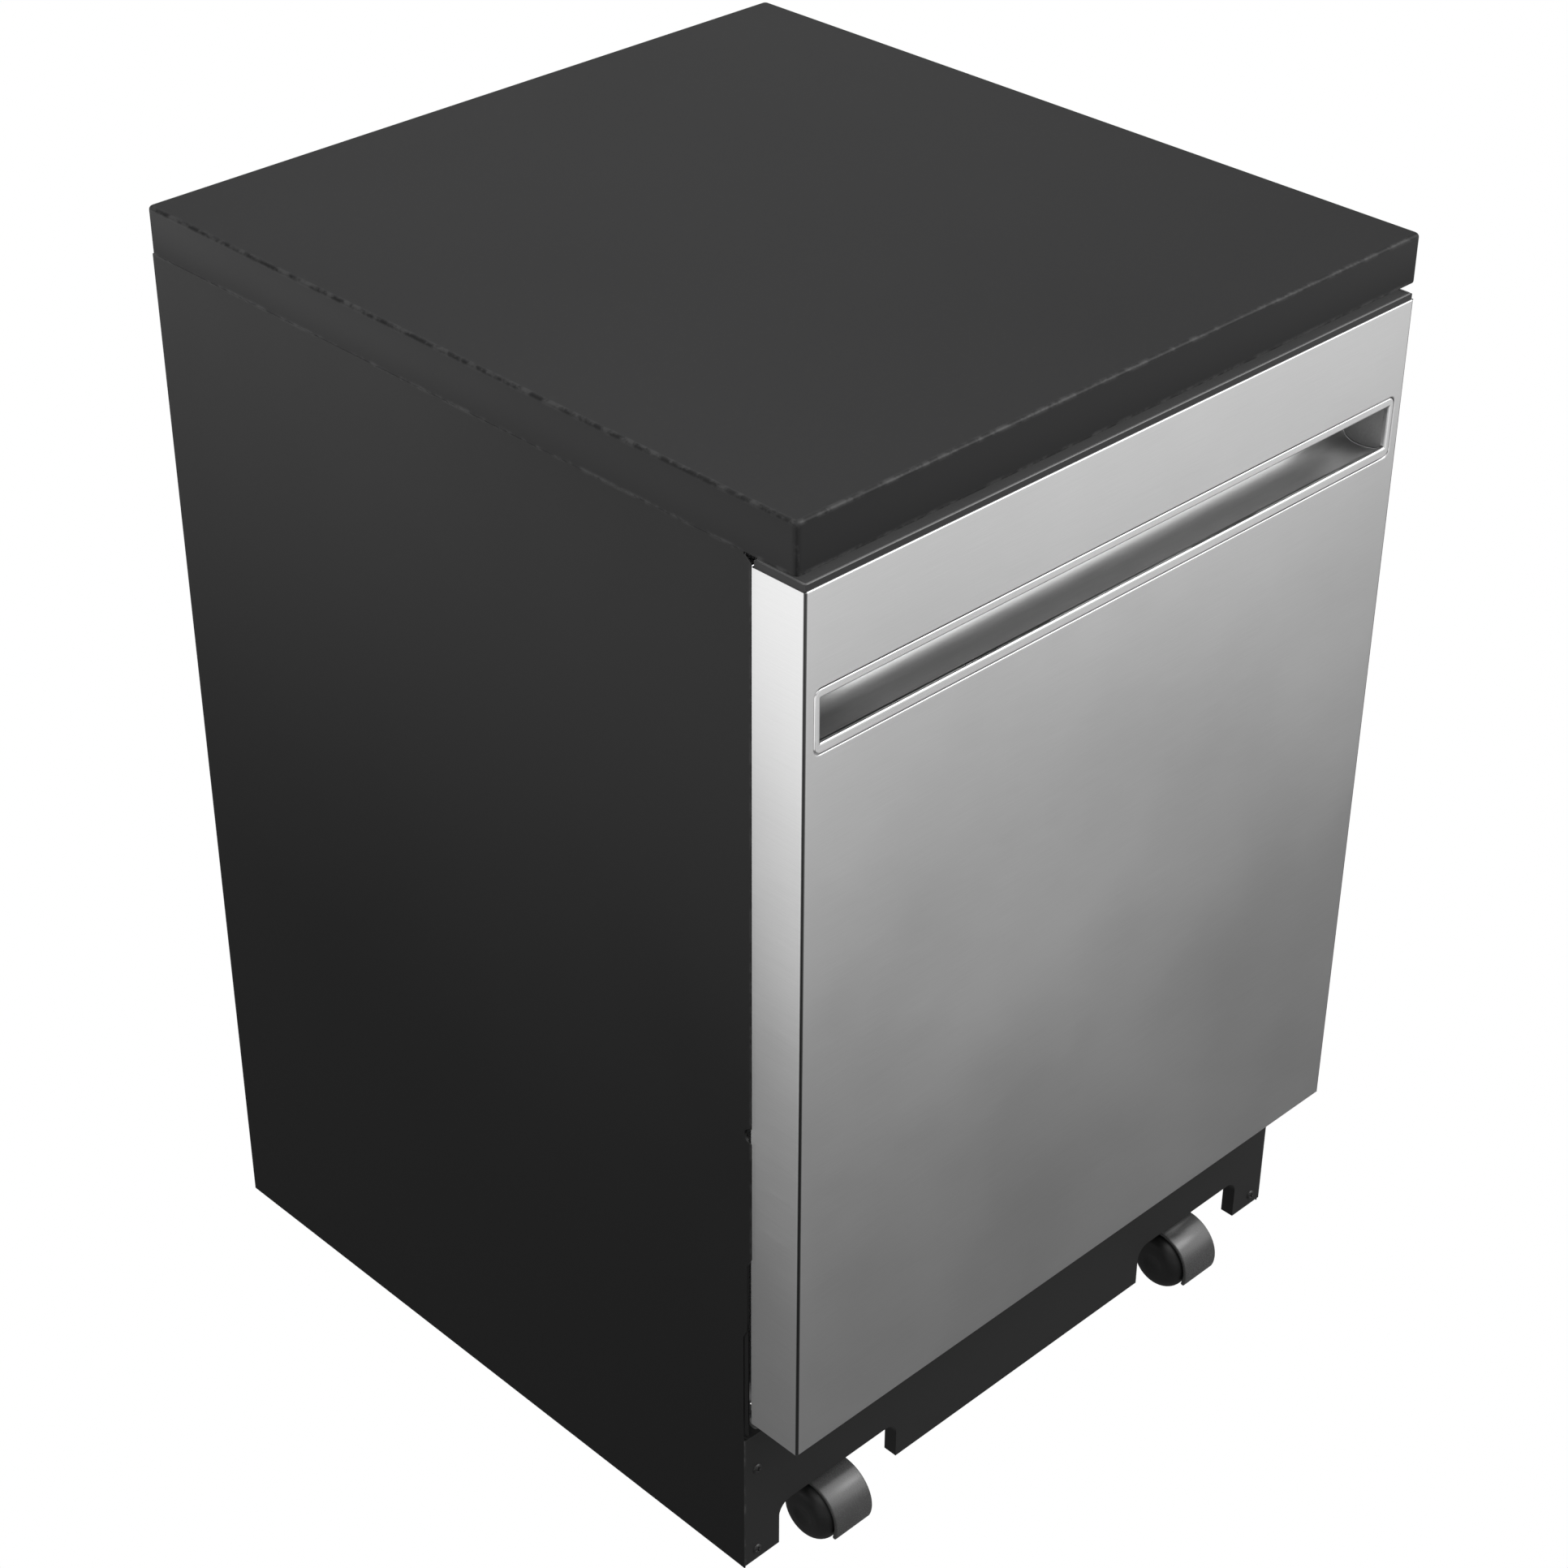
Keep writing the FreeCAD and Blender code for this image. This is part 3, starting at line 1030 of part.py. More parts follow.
# ---- latch: a housing behind the tub's frame and a sprung pawl under the strike ----
latch_y = ("mouth + tub_wall", "mouth + 30")
housing_block = box("housing_block", around("0", 22), latch_y, ("tub_roof + tub_wall", "tub_roof + 22"))
housing_hollow = box(
    "housing_hollow", around("0", 12), ("mouth", "mouth + 27"), ("tub_roof + 3", "tub_roof + 19")
)
pawl_hub = ("mouth + 22", "tub_roof + 7")
pawl_bore = rod("pawl_bore", "x", "1.5 + fit", ("-19", *pawl_hub), 38)
keep(cut("housing", housing_block, housing_hollow, pawl_bore), "latch_housing")
pawl_bar = box("pawl_bar", around("0", 4.5), ("mouth + 5", "mouth + 22"), ("tub_roof + 6", "tub_roof + 8"))
keep(fuse("pawl", pawl_bar, rod("pawl_pin", "x", 1.5, ("-18", *pawl_hub), 36)), "latch_pawl")

# ---- dispenser: a moulding with a detergent cup, its sliding lid and the rinse aid cap ----
cup_x = ("-15", "65")
cup_z = ("dispenser_low + 20", "dispenser_low + 100")
moulding = box("moulding", dispenser_x, ("liner_face - 15", "liner_face + 9"), dispenser_z)
hollow = box("detergent_cup", cup_x, ("liner_face - 12", "liner_face + 10"), cup_z)
rinse_hole = rod("rinse_hole", "y", 14.4, ("-55", "liner_face", "dispenser_low + 60"), 10)
keep(cut("dispenser", moulding, hollow, rinse_hole), "dispenser_body")
slide_lid = doc.addObject("PartDesign::Body", "slide_lid")
pad(
    slide_lid,
    "slide_plate",
    "XZ_Plane",
    ("liner_face + 9.3", "liner_face + 12.3"),
    rectangle(("-20", "70"), ("dispenser_low + 15", "dispenser_low + 105")),
)
pad(
    slide_lid,
    "slide_grip",
    "XZ_Plane",
    ("liner_face + 12.3", "liner_face + 14.8"),
    rectangle(("-5", "55"), ("dispenser_low + 88", "dispenser_low + 94")),
)
keep(slide_lid, "dispenser_lid")
knob_disc = rod("knob_disc", "y", 14, ("-55", "liner_face + 0.4", "dispenser_low + 60"), 10)
grip_y = ("liner_face + 10.4", "liner_face + 13.4")
knob_grip = box("knob_grip", ("-65", "-45"), grip_y, around("dispenser_low + 60", 2.5))
keep(fuse("knob", knob_disc, knob_grip), "rinse_aid_cap")

# ---- checks, then one file for each piece ----
doc.recompute()
for thing in doc.Objects:
    if {"Invalid", "Error"} & set(thing.State):
        raise SystemExit(f"{thing.Name} did not build: {thing.State}")
for piece in nodes:
    shape = piece.Shape
    if shape.isNull() or not shape.isValid() or shape.Volume <= 0:
        raise SystemExit(f"{piece.Label} has no valid solid")
os.makedirs("parts", exist_ok=True)
for piece in nodes:
    piece.Shape.exportStep(f"parts/{piece.Label}.step")
print(len(nodes), "pieces")
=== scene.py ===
import bmesh
import bpy
import numpy as np
from mathutils import Matrix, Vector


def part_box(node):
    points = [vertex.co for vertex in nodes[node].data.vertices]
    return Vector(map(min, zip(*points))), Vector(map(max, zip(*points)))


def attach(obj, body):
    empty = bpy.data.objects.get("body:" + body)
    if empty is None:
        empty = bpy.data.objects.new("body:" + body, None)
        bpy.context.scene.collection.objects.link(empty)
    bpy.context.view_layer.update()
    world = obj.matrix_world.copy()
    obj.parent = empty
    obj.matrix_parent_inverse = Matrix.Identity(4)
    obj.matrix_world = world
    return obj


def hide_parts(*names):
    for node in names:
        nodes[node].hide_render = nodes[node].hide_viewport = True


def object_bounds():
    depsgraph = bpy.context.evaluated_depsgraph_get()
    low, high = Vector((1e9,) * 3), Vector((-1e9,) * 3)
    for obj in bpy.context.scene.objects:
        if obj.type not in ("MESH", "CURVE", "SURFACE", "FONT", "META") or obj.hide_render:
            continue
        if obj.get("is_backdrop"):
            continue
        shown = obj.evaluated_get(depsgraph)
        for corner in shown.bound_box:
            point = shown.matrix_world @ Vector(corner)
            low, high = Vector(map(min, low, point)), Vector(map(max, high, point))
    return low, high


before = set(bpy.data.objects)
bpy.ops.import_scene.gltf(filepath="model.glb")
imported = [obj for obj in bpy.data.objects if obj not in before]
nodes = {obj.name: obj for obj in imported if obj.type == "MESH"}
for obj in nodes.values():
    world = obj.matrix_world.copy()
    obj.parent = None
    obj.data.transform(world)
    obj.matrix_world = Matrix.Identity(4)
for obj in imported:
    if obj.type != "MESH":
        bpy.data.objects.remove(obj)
cad_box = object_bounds()

# ---- studio ----
# A white floor and a white room, as in a product studio. To the camera the floor is plain white; what the
# steel mirrors of it is a painted glow, painted shade close to the machine and painted light further off.
EYE = (-1.4771, -1.5056, 1.8314)
EYE_RIGHT = (0.7192, -0.6948, 0.0006)
EYE_UP = (0.3803, 0.3943, 0.8366)
EYE_BACK = (-0.5815, -0.6015, 0.5478)
lens = bpy.data.cameras.new("camera")
lens.sensor_width = 36
lens.lens = 73.98
lens.shift_x = 0.0168
lens.shift_y = 0.0067
lens.clip_end = 60
camera = bpy.data.objects.new("camera", lens)
bpy.context.scene.collection.objects.link(camera)
axes = np.array([EYE_RIGHT, EYE_UP, EYE_BACK, EYE]).T
camera.matrix_world = Matrix([*axes.tolist(), (0, 0, 0, 1)])
bpy.context.scene.camera = camera
bpy.context.scene.view_settings.view_transform = "Standard"


def linked(tree, kind, *inputs, **settings):
    """A node of one kind in a tree, with its settings and then its inputs in order, each a value or another
    node's socket."""
    node = tree.nodes.new(kind)
    for word, value in settings.items():
        setattr(node, word, value)
    for place, value in enumerate(inputs):
        if isinstance(value, bpy.types.NodeSocket):
            tree.links.new(value, node.inputs[place])
        elif value is not None:
            node.inputs[place].default_value = value
    return node


def sum_of(tree, how, *inputs, clamp=False):
    """One step of arithmetic, as a socket."""
    return linked(tree, "ShaderNodeMath", *inputs, operation=how, use_clamp=clamp).outputs[0]


def ramp(tree, value, low, high, start, end):
    """A value's range laid smoothly over another, and held at its ends."""
    node = linked(tree, "ShaderNodeMapRange", value, low, high, start, end, interpolation_type="SMOOTHSTEP")
    return node.outputs[0]


def toward(tree, way, aim):
    """How nearly one direction points along another: the sum of the products of their three parts."""
    return linked(tree, "ShaderNodeVectorMath", way, aim, operation="DOT_PRODUCT").outputs["Value"]


def white_to_camera(tree, strength):
    """A light's strength, but one where the camera looks straight at it."""
    seen = linked(tree, "ShaderNodeLightPath").outputs["Is Camera Ray"]
    return linked(tree, "ShaderNodeMix", seen, None, strength, 1.0, data_type="FLOAT").outputs[0]


# The room is pale low down and bright overhead, a little brighter on the left. A large key light stands
# high at the front right, and a softer glow high behind.
KEY_WAY = np.array([0.58, -0.53, 0.60]) / np.linalg.norm([0.58, -0.53, 0.60])
REAR_WAY = (0.45, 0.50, 0.74)
world = bpy.data.worlds.new("room")
bpy.context.scene.world = world
world.use_nodes = True
tree = world.node_tree
tree.nodes.clear()
way = linked(tree, "ShaderNodeTexCoord").outputs["Generated"]
part = linked(tree, "ShaderNodeSeparateXYZ", way)
low_sky = ramp(tree, part.outputs["Z"], 0.0, 0.4, 0.55, 0.16)
high_sky = ramp(tree, part.outputs["Z"], 0.5, 0.85, 0.0, 1.15)
side = ramp(tree, part.outputs["X"], -0.9, 0.9, 1.3, 0.9)
key = ramp(tree, toward(tree, way, KEY_WAY.tolist()), 0.80, 0.97, 0.0, 2.6)
rear_glow = ramp(tree, toward(tree, way, REAR_WAY), 0.90, 1.0, 0.0, 1.3)
whole_sky = sum_of(tree, "MULTIPLY", sum_of(tree, "ADD", low_sky, high_sky), side)
whole_sky = sum_of(tree, "ADD", sum_of(tree, "ADD", whole_sky, key), rear_glow)
sky = linked(tree, "ShaderNodeBackground", (1, 1, 1, 1), white_to_camera(tree, whole_sky))
linked(tree, "ShaderNodeOutputWorld", sky.outputs[0])

FLOOR_REACH = 14
points = [(x * FLOOR_REACH, y * FLOOR_REACH, 0) for x, y in ((-1, -1), (1, -1), (1, 1), (-1, 1))]
ground = bpy.data.meshes.new("floor")
ground.from_pydata(points, [], [(0, 1, 2, 3)])
floor = bpy.data.objects.new("floor", ground)
bpy.context.scene.collection.objects.link(floor)
# To reflected rays the floor glows with painted shade and light: dark near the machine, brighter ahead and to
# the left, and darker again far out along the front left diagonal.
painted_floor_glow = bpy.data.materials.new("floor_white_painted_glow")
painted_floor_glow.use_nodes = True
tree = painted_floor_glow.node_tree
tree.nodes.clear()
place = linked(tree, "ShaderNodeSeparateXYZ", linked(tree, "ShaderNodeTexCoord").outputs["Object"])
ahead = sum_of(tree, "MULTIPLY", place.outputs["Y"], -1.0)
front = ramp(tree, ahead, 0.53, 1.95, 0.16, 1.15)
left = sum_of(tree, "MULTIPLY", place.outputs["X"], -1.0)
leftward = ramp(tree, left, 0.62, 1.5, 0.02, 1.58)
across = sum_of(tree, "ABSOLUTE", sum_of(tree, "SUBTRACT", left, ahead))
by_corner = ramp(tree, across, 0.25, 0.75, 1.0, 0.0)
far_out = ramp(tree, sum_of(tree, "ADD", left, ahead), 0.9, 1.4, 0.0, 1.0)
corner_light = sum_of(tree, "SUBTRACT", 1.0, sum_of(tree, "MULTIPLY", by_corner, far_out), clamp=True)
lit = sum_of(tree, "MULTIPLY", sum_of(tree, "MAXIMUM", front, leftward), corner_light)
glow = linked(tree, "ShaderNodeEmission", (1, 1, 1, 1), white_to_camera(tree, lit))
linked(tree, "ShaderNodeOutputMaterial", glow.outputs[0])
ground.materials.append(painted_floor_glow)
floor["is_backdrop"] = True

LIT_SPOT = (0, 0, 0.45)
for name, spot, size, power in (
    ("softbox_left", (-2.6, 0.4, 2.6), 1.2, 14),
    ("softbox_front", (1.9, -2.1, 2.5), 0.9, 14),
):
    bulb = bpy.data.lights.new(name, "AREA")
    bulb.energy = power
    bulb.size = size
    lamp = bpy.data.objects.new(name, bulb)
    away = np.array(spot) - LIT_SPOT
    away = away / np.linalg.norm(away)
    right = np.cross((0, 0, 1), away)
    right = right / np.linalg.norm(right)
    turned = np.array([right, np.cross(away, right), away, spot]).T
    lamp.matrix_world = Matrix([*turned.tolist(), (0, 0, 0, 1)])
    bpy.context.scene.collection.objects.link(lamp)

# ---- worktop ----
# A 37 mm slab in black satin laminate, its upright corners and edges rounded.
# It is screwed down to the two side panels from inside.


def group_of(name, inputs, outputs):
    """An empty shader group with its named inputs and outputs: the tree, its input node and its output
    node."""
    tree = bpy.data.node_groups.new(name, "ShaderNodeTree")
    for word, kind, value in inputs:
        socket = tree.interface.new_socket(word, in_out="INPUT", socket_type=kind)
        if value is not None:
            socket.default_value = value
    for word, kind in outputs:
        tree.interface.new_socket(word, in_out="OUTPUT", socket_type=kind)
    return tree, tree.nodes.new("NodeGroupInput").outputs, tree.nodes.new("NodeGroupOutput").inputs


FLOAT, VECTOR = "NodeSocketFloat", "NodeSocketVector"

# Grain: fine noise stretched along a surface's own lay, over a slow drift from place to place.
grain, given, out = group_of(
    "grain",
    [("Vector", VECTOR, None), ("Stretch", VECTOR, (1, 1, 1)), ("Fine", FLOAT, 800.0), ("Slow", FLOAT, 6.0)],
    [("Fine", FLOAT), ("Slow", FLOAT)],
)
stretched = linked(grain, "ShaderNodeVectorMath", given["Vector"], given["Stretch"], operation="MULTIPLY")
fine = linked(grain, "ShaderNodeTexNoise", stretched.outputs[0], None, given["Fine"], 3.0, 0.6)
slow = linked(grain, "ShaderNodeTexNoise", given["Vector"], None, given["Slow"], 4.0, 0.55)
grain.links.new(fine.outputs[0], out["Fine"])
grain.links.new(slow.outputs[0], out["Slow"])

# Edge wear and painted highlight: how near a point is to an edge of the piece's box, which is where the
# second smallest of its distances to the six sides is small, broken up by noise. The colour laid there stands
# for wear and for a painted highlight along the edge.
wear_and_highlight, given, out = group_of(
    "edge_wear_and_highlight",
    [("Vector", VECTOR, None), ("Low", VECTOR, None), ("High", VECTOR, None), ("Width", FLOAT, 0.003)],
    [("Mask", FLOAT)],
)
under = linked(wear_and_highlight, "ShaderNodeVectorMath", given["Vector"], given["Low"], operation="SUBTRACT").outputs[0]
over = linked(wear_and_highlight, "ShaderNodeVectorMath", given["High"], given["Vector"], operation="SUBTRACT").outputs[0]
near = linked(wear_and_highlight, "ShaderNodeVectorMath", under, over, operation="MINIMUM").outputs[0]
x, y, z = linked(wear_and_highlight, "ShaderNodeSeparateXYZ", near).outputs
most = sum_of(wear_and_highlight, "MAXIMUM", sum_of(wear_and_highlight, "MAXIMUM", x, y), z)
least = sum_of(wear_and_highlight, "MINIMUM", sum_of(wear_and_highlight, "MINIMUM", x, y), z)
total = sum_of(wear_and_highlight, "ADD", sum_of(wear_and_highlight, "ADD", x, y), z)
second = sum_of(wear_and_highlight, "SUBTRACT", sum_of(wear_and_highlight, "SUBTRACT", total, most), least)
close = sum_of(wear_and_highlight, "SUBTRACT", 1.0, sum_of(wear_and_highlight, "DIVIDE", second, given["Width"]), clamp=True)
broken = linked(wear_and_highlight, "ShaderNodeTexNoise", given["Vector"], None, 90.0, 4.0, 0.7).outputs[0]
broken = ramp(wear_and_highlight, broken, 0.42, 0.62, 0.0, 1.0)
wear_and_highlight.links.new(sum_of(wear_and_highlight, "MULTIPLY", close, broken), out["Mask"])

# Dust: a thin scatter that gathers on faces that look up.
dust, given, out = group_of("dust", [("Vector", VECTOR, None), ("Normal", VECTOR, None)], [("Mask", FLOAT)])
facing = linked(dust, "ShaderNodeSeparateXYZ", given["Normal"]).outputs["Z"]
facing = ramp(dust, facing, 0.3, 1.0, 0.0, 1.0)
specks = linked(dust, "ShaderNodeTexNoise", given["Vector"], None, 240.0, 5.0, 0.75).outputs[0]
specks = ramp(dust, specks, 0.5, 0.85, 0.0, 1.0)
dust.links.new(sum_of(dust, "MULTIPLY", facing, specks), out["Mask"])


def grey(value, tint=(1, 1, 1)):
    """A linear grey, tinted."""
    return (value * tint[0], value * tint[1], value * tint[2], 1)


def finish(
    name, colour, rough, metal=0.0, fine=700, slow=5, lay=(1, 1, 1), mottle=0.1, spread=0.06, bump=0.1,
    depth=0.0001, edge=None, box=None, edge_wide=0.003, dusty=0.0, **shader
):
    """A material: the colour varies by mottle with slow drift and fine grain, the roughness by spread, the
    grain stands up by depth, and edge is the colour laid along the edges of the box, for wear and for a
    painted highlight there."""
    made = bpy.data.materials.new(name)
    made.use_nodes = True
    tree = made.node_tree
    tree.nodes.clear()
    here = linked(tree, "ShaderNodeTexCoord").outputs
    texture = linked(tree, "ShaderNodeGroup", node_tree=grain)
    tree.links.new(here["Object"], texture.inputs["Vector"])
    texture.inputs["Stretch"].default_value = lay
    texture.inputs["Fine"].default_value = fine
    texture.inputs["Slow"].default_value = slow
    both = sum_of(tree, "ADD", texture.outputs["Fine"], texture.outputs["Slow"])
    shade = ramp(tree, both, 0.6, 1.4, 1 - mottle, 1 + mottle)
    tone = linked(tree, "ShaderNodeVectorMath", colour[:3], operation="SCALE")
    tree.links.new(shade, tone.inputs["Scale"])
    tone = tone.outputs[0]
    if edge:
        worn_and_lit_edge = linked(tree, "ShaderNodeGroup", node_tree=wear_and_highlight)
        tree.links.new(here["Object"], worn_and_lit_edge.inputs["Vector"])
        worn_and_lit_edge.inputs["Low"].default_value = box[0]
        worn_and_lit_edge.inputs["High"].default_value = box[1]
        worn_and_lit_edge.inputs["Width"].default_value = edge_wide
        mix = linked(tree, "ShaderNodeMix", worn_and_lit_edge.outputs[0], data_type="RGBA")
        tree.links.new(tone, mix.inputs["A"])
        mix.inputs["B"].default_value = edge
        tone = mix.outputs["Result"]
    if dusty:
        settled = linked(tree, "ShaderNodeGroup", node_tree=dust)
        tree.links.new(here["Object"], settled.inputs["Vector"])
        tree.links.new(linked(tree, "ShaderNodeNewGeometry").outputs["Normal"], settled.inputs["Normal"])
        amount = sum_of(tree, "MULTIPLY", settled.outputs[0], dusty)
        mix = linked(tree, "ShaderNodeMix", amount, data_type="RGBA")
        tree.links.new(tone, mix.inputs["A"])
        mix.inputs["B"].default_value = (0.3, 0.29, 0.27, 1)
        tone = mix.outputs["Result"]
    bsdf = linked(tree, "ShaderNodeBsdfPrincipled")
    tree.links.new(tone, bsdf.inputs["Base Color"])
    bsdf.inputs["Metallic"].default_value = metal
    tree.links.new(ramp(tree, both, 0.6, 1.4, rough - spread, rough + spread), bsdf.inputs["Roughness"])
    raised = linked(tree, "ShaderNodeBump")
    raised.inputs["Strength"].default_value = bump
    raised.inputs["Distance"].default_value = depth
    tree.links.new(texture.outputs["Fine"], raised.inputs["Height"])
    tree.links.new(raised.outputs[0], bsdf.inputs["Normal"])
    for word, value in shader.items():
        bsdf.inputs[word.replace("_", " ").title().replace("Ior", "IOR")].default_value = value
    linked(tree, "ShaderNodeOutputMaterial", bsdf.outputs[0])
    return made


def dress(material, *names):
    """Give CAD nodes a finish."""
    for name in names:
        nodes[name].data.materials.clear()
        nodes[name].data.materials.append(material)


def outline(low, high, radius, sides=4, corner=8):
    """A rounded rectangle as points: quarter circles about the four corner centres, joined by even runs."""
    low, high = np.array(low, float), np.array(high, float)
    angle = np.radians(np.arange(4)[:, None] * 90 + np.linspace(0, 90, corner))
    at_high = np.array([[1, 1], [0, 1], [0, 0], [1, 0]], bool)
    centre = np.where(at_high, high - radius, low + radius)
    arcs = centre[:, None] + radius * np.stack([np.cos(angle), np.sin(angle)], -1)
    along = np.linspace(0, 1, sides + 1)[1:-1, None]
    runs = arcs[:, -1, None] * (1 - along) + np.roll(arcs[:, 0], -1, 0)[:, None] * along
    return np.concatenate([arcs, runs], 1).reshape(-1, 2)


def skin(grid, ring=False, tube=True, caps=True):
    """Faces over a grid of points: each row joins the next, a row closes on itself if tube, the last row
    joins the first if ring, and otherwise flat faces close the two end rows if caps."""
    rows, across = grid.shape[:2]
    index = np.arange(rows * across).reshape(rows, across)
    down = np.vstack([index, index[:1]]) if ring else index
    if tube:
        down = np.hstack([down, down[:, :1]])
    quads = np.stack([down[:-1, :-1], down[:-1, 1:], down[1:, 1:], down[1:, :-1]], -1).reshape(-1, 4).tolist()
    if caps and not ring:
        quads += [index[0].tolist()[::-1], index[-1].tolist()]
    return grid.reshape(-1, 3), quads


def piece(name, shells, body, material, stands_for=(), smooth=40, wall=None):
    """One piece from closed shells of points and faces, its faces turned outwards, riding on a body. A wall
    makes an open sheet that thick, inwards."""
    mesh = bpy.data.meshes.new(name)
    starts = np.cumsum([0] + [len(p) for p, f in shells])
    faces = [[i + s for i in face] for (p, f), s in zip(shells, starts.tolist()) for face in f]
    mesh.from_pydata(np.concatenate([p for p, f in shells]).tolist(), [], faces)
    work = bmesh.new()
    work.from_mesh(mesh)
    bmesh.ops.remove_doubles(work, verts=work.verts, dist=1e-6)
    bmesh.ops.recalc_face_normals(work, faces=work.faces)
    work.to_mesh(mesh)
    work.free()
    mesh.shade_smooth()
    mesh.set_sharp_from_angle(angle=np.radians(smooth))
    mesh.materials.append(material)
    made = bpy.data.objects.new(name, mesh)
    bpy.context.scene.collection.objects.link(made)
    if wall:
        thick = made.modifiers.new("wall", "SOLIDIFY")
        thick.thickness = wall
    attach(made, body)
    if stands_for:
        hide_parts(*stands_for)
    return made


def slab(low, high, corner, top_edge, low_edge, lay=(0, 1, 2), steps=5, hold=0.0004):
    """A block with rounded upright corners and quarter-round edges: the outline draws in by
    edge*(1 - cos a) while the height falls short by edge*(1 - sin a). Lay says which axis each of its three
    own directions runs along. Hold is a thin flat inside each edge that keeps the face's shading flat."""
    low, high = np.array(low, float)[list(lay)], np.array(high, float)[list(lay)]
    angle = np.radians(np.linspace(90, 0, steps))
    drawn, short = 1 - np.cos(angle), 1 - np.sin(angle)
    inset = np.concatenate([[low_edge + hold], low_edge * drawn, top_edge * drawn[::-1], [top_edge + hold]])
    level = np.concatenate([[low[2]], low[2] + low_edge * short, high[2] - top_edge * short[::-1], [high[2]]])
    rows = np.array([outline(low[:2] + i, high[:2] - i, max(corner - i, 1e-5)) for i in inset])
    heights = np.broadcast_to(level[:, None, None], (*rows.shape[:2], 1))
    return skin(np.concatenate([rows, heights], -1)[..., np.argsort(lay)])


low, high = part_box("worktop")
# Its edges take a lighter grey: edge wear, and a painted highlight along the rounded edges.
laminate = finish(
    "worktop_laminate", grey(0.013, (1, 1, 1.02)), 0.36, fine=1500, slow=3, mottle=0.07, bump=0.25,
    depth=0.00004, edge=grey(0.06), box=(low, high), edge_wide=0.0035, dusty=0.02, specular_ior_level=0.14,
)
top = slab(low, high, 0.0045, 0.003, 0.0012)
piece("worktop_slab", [top], "cabinet", laminate, ["worktop"])

# ---- side panels and kick plate ----
# One millimetre steel sheet in satin black enamel, folded at the front. The kick plate is the same sheet,
# with a notch over each front caster, and is held by four pan head screws.
low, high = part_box("side_panel_left")[0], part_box("side_panel_right")[1]
enamel = finish(
    "cabinet_enamel", grey(0.011), 0.36, fine=900, slow=3, mottle=0.08, bump=0.12, depth=0.00005,
    edge=grey(0.035), box=(low, high), edge_wide=0.002, dusty=0.015, specular_ior_level=0.14,
)
dress(enamel, "side_panel_left", "side_panel_right")
low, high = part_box("kick_plate")
kick_enamel = finish(
    "kick_enamel", grey(0.016), 0.4, fine=900, slow=4, mottle=0.1, bump=0.12, depth=0.00005,
    edge=grey(0.06), box=(low, high), edge_wide=0.0018, dusty=0.05, specular_ior_level=0.5,
)
dress(kick_enamel, "kick_plate")


def screw_head(centre, facing, radius, rise, recess=0.55):
    """A pan head on a polar grid: its height is rise*(1 - r^4) and drops into a cross where either of its
    own directions is within a quarter of the recess."""
    r = np.concatenate([np.linspace(0, 1, 13)[1:], [1.0]])[:, None]
    a = np.linspace(0, 2 * np.pi, 48, endpoint=False)[None]
    u, v = r * np.cos(a), r * np.sin(a)
    slot = (np.minimum(abs(u), abs(v)) < 0.14) & (np.maximum(abs(u), abs(v)) < recess)
    level = np.where(slot, 0.35 * rise, rise * (1 - 0.9 * r**4))
    level[-1] = 0
    facing = np.array(facing, float)
    first = np.cross(facing, (0, 0, 1)) if abs(facing[2]) < 0.5 else np.array((1.0, 0, 0))
    second = np.cross(facing, first)
    grid = np.array(centre) + radius * (
        u[..., None] * first + v[..., None] * second
    ) + level[..., None] * facing
    return skin(grid[::-1])


# The fold beside each caster notch runs on round the notch's upper corners: a 12 mm arc of the same sheet.
NOTCH_NEAR, NOTCH_FAR, NOTCH_TOP, NOTCH_RADIUS = 0.143, 0.269, 0.0714, 0.012
KICK_SHEET, HAIR = 0.001, 0.0001
folds = []
for x_edge, turn_to in ((-NOTCH_FAR, -1), (-NOTCH_NEAR, 1), (NOTCH_NEAR, -1), (NOTCH_FAR, 1)):
    a = np.radians(np.linspace(-4, 92, 13))[:, None]
    r = NOTCH_RADIUS + np.array([-HAIR, -HAIR, KICK_SHEET, KICK_SHEET])
    y = low.y + np.array([0.0002, 0.0118, 0.0118, 0.0002])
    x = x_edge + turn_to * (r * np.cos(a) - NOTCH_RADIUS)
    z = NOTCH_TOP - NOTCH_RADIUS + r * np.sin(a)
    folds.append(skin(np.stack([x, np.broadcast_to(y, x.shape), z], -1)))
piece("kick_folds", folds, "cabinet", kick_enamel)

zinc = finish(
    "screw_zinc", grey(0.35), 0.34, metal=1.0, fine=2500, slow=40, mottle=0.2, bump=0.2, depth=0.00005
)
blacked = finish("screw_blacked", grey(0.02), 0.38, fine=2500, slow=60, mottle=0.2, bump=0.2, depth=0.00005)
low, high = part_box("kick_screws")
PAN_RADIUS, PAN_RISE = 0.0042, 0.0016
heads = [
    screw_head((x, high.y, z), (0, -1, 0), PAN_RADIUS, PAN_RISE)
    for x in (low.x + PAN_RADIUS, high.x - PAN_RADIUS)
    for z in (low.z + PAN_RADIUS, high.z - PAN_RADIUS)
]
piece("kick_screw_heads", heads, "cabinet", blacked, ["kick_screws"])

# ---- door skin ----
# A pan of one millimetre stainless sheet brushed from side to side, folded back at both sides and the foot,
# with a window for the handle. The liner is screwed into its back.
low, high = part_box("door_skin")
window_low, window_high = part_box("handle_frame")
SHEET, FRAME_GAP, FOOT_RETURN = 0.001, 0.0008, 0.030
SIDE_BEND, HEAD_BEND, FOOT_BEND, HOLD = 0.0022, 0.0009, 0.0010, 0.0004


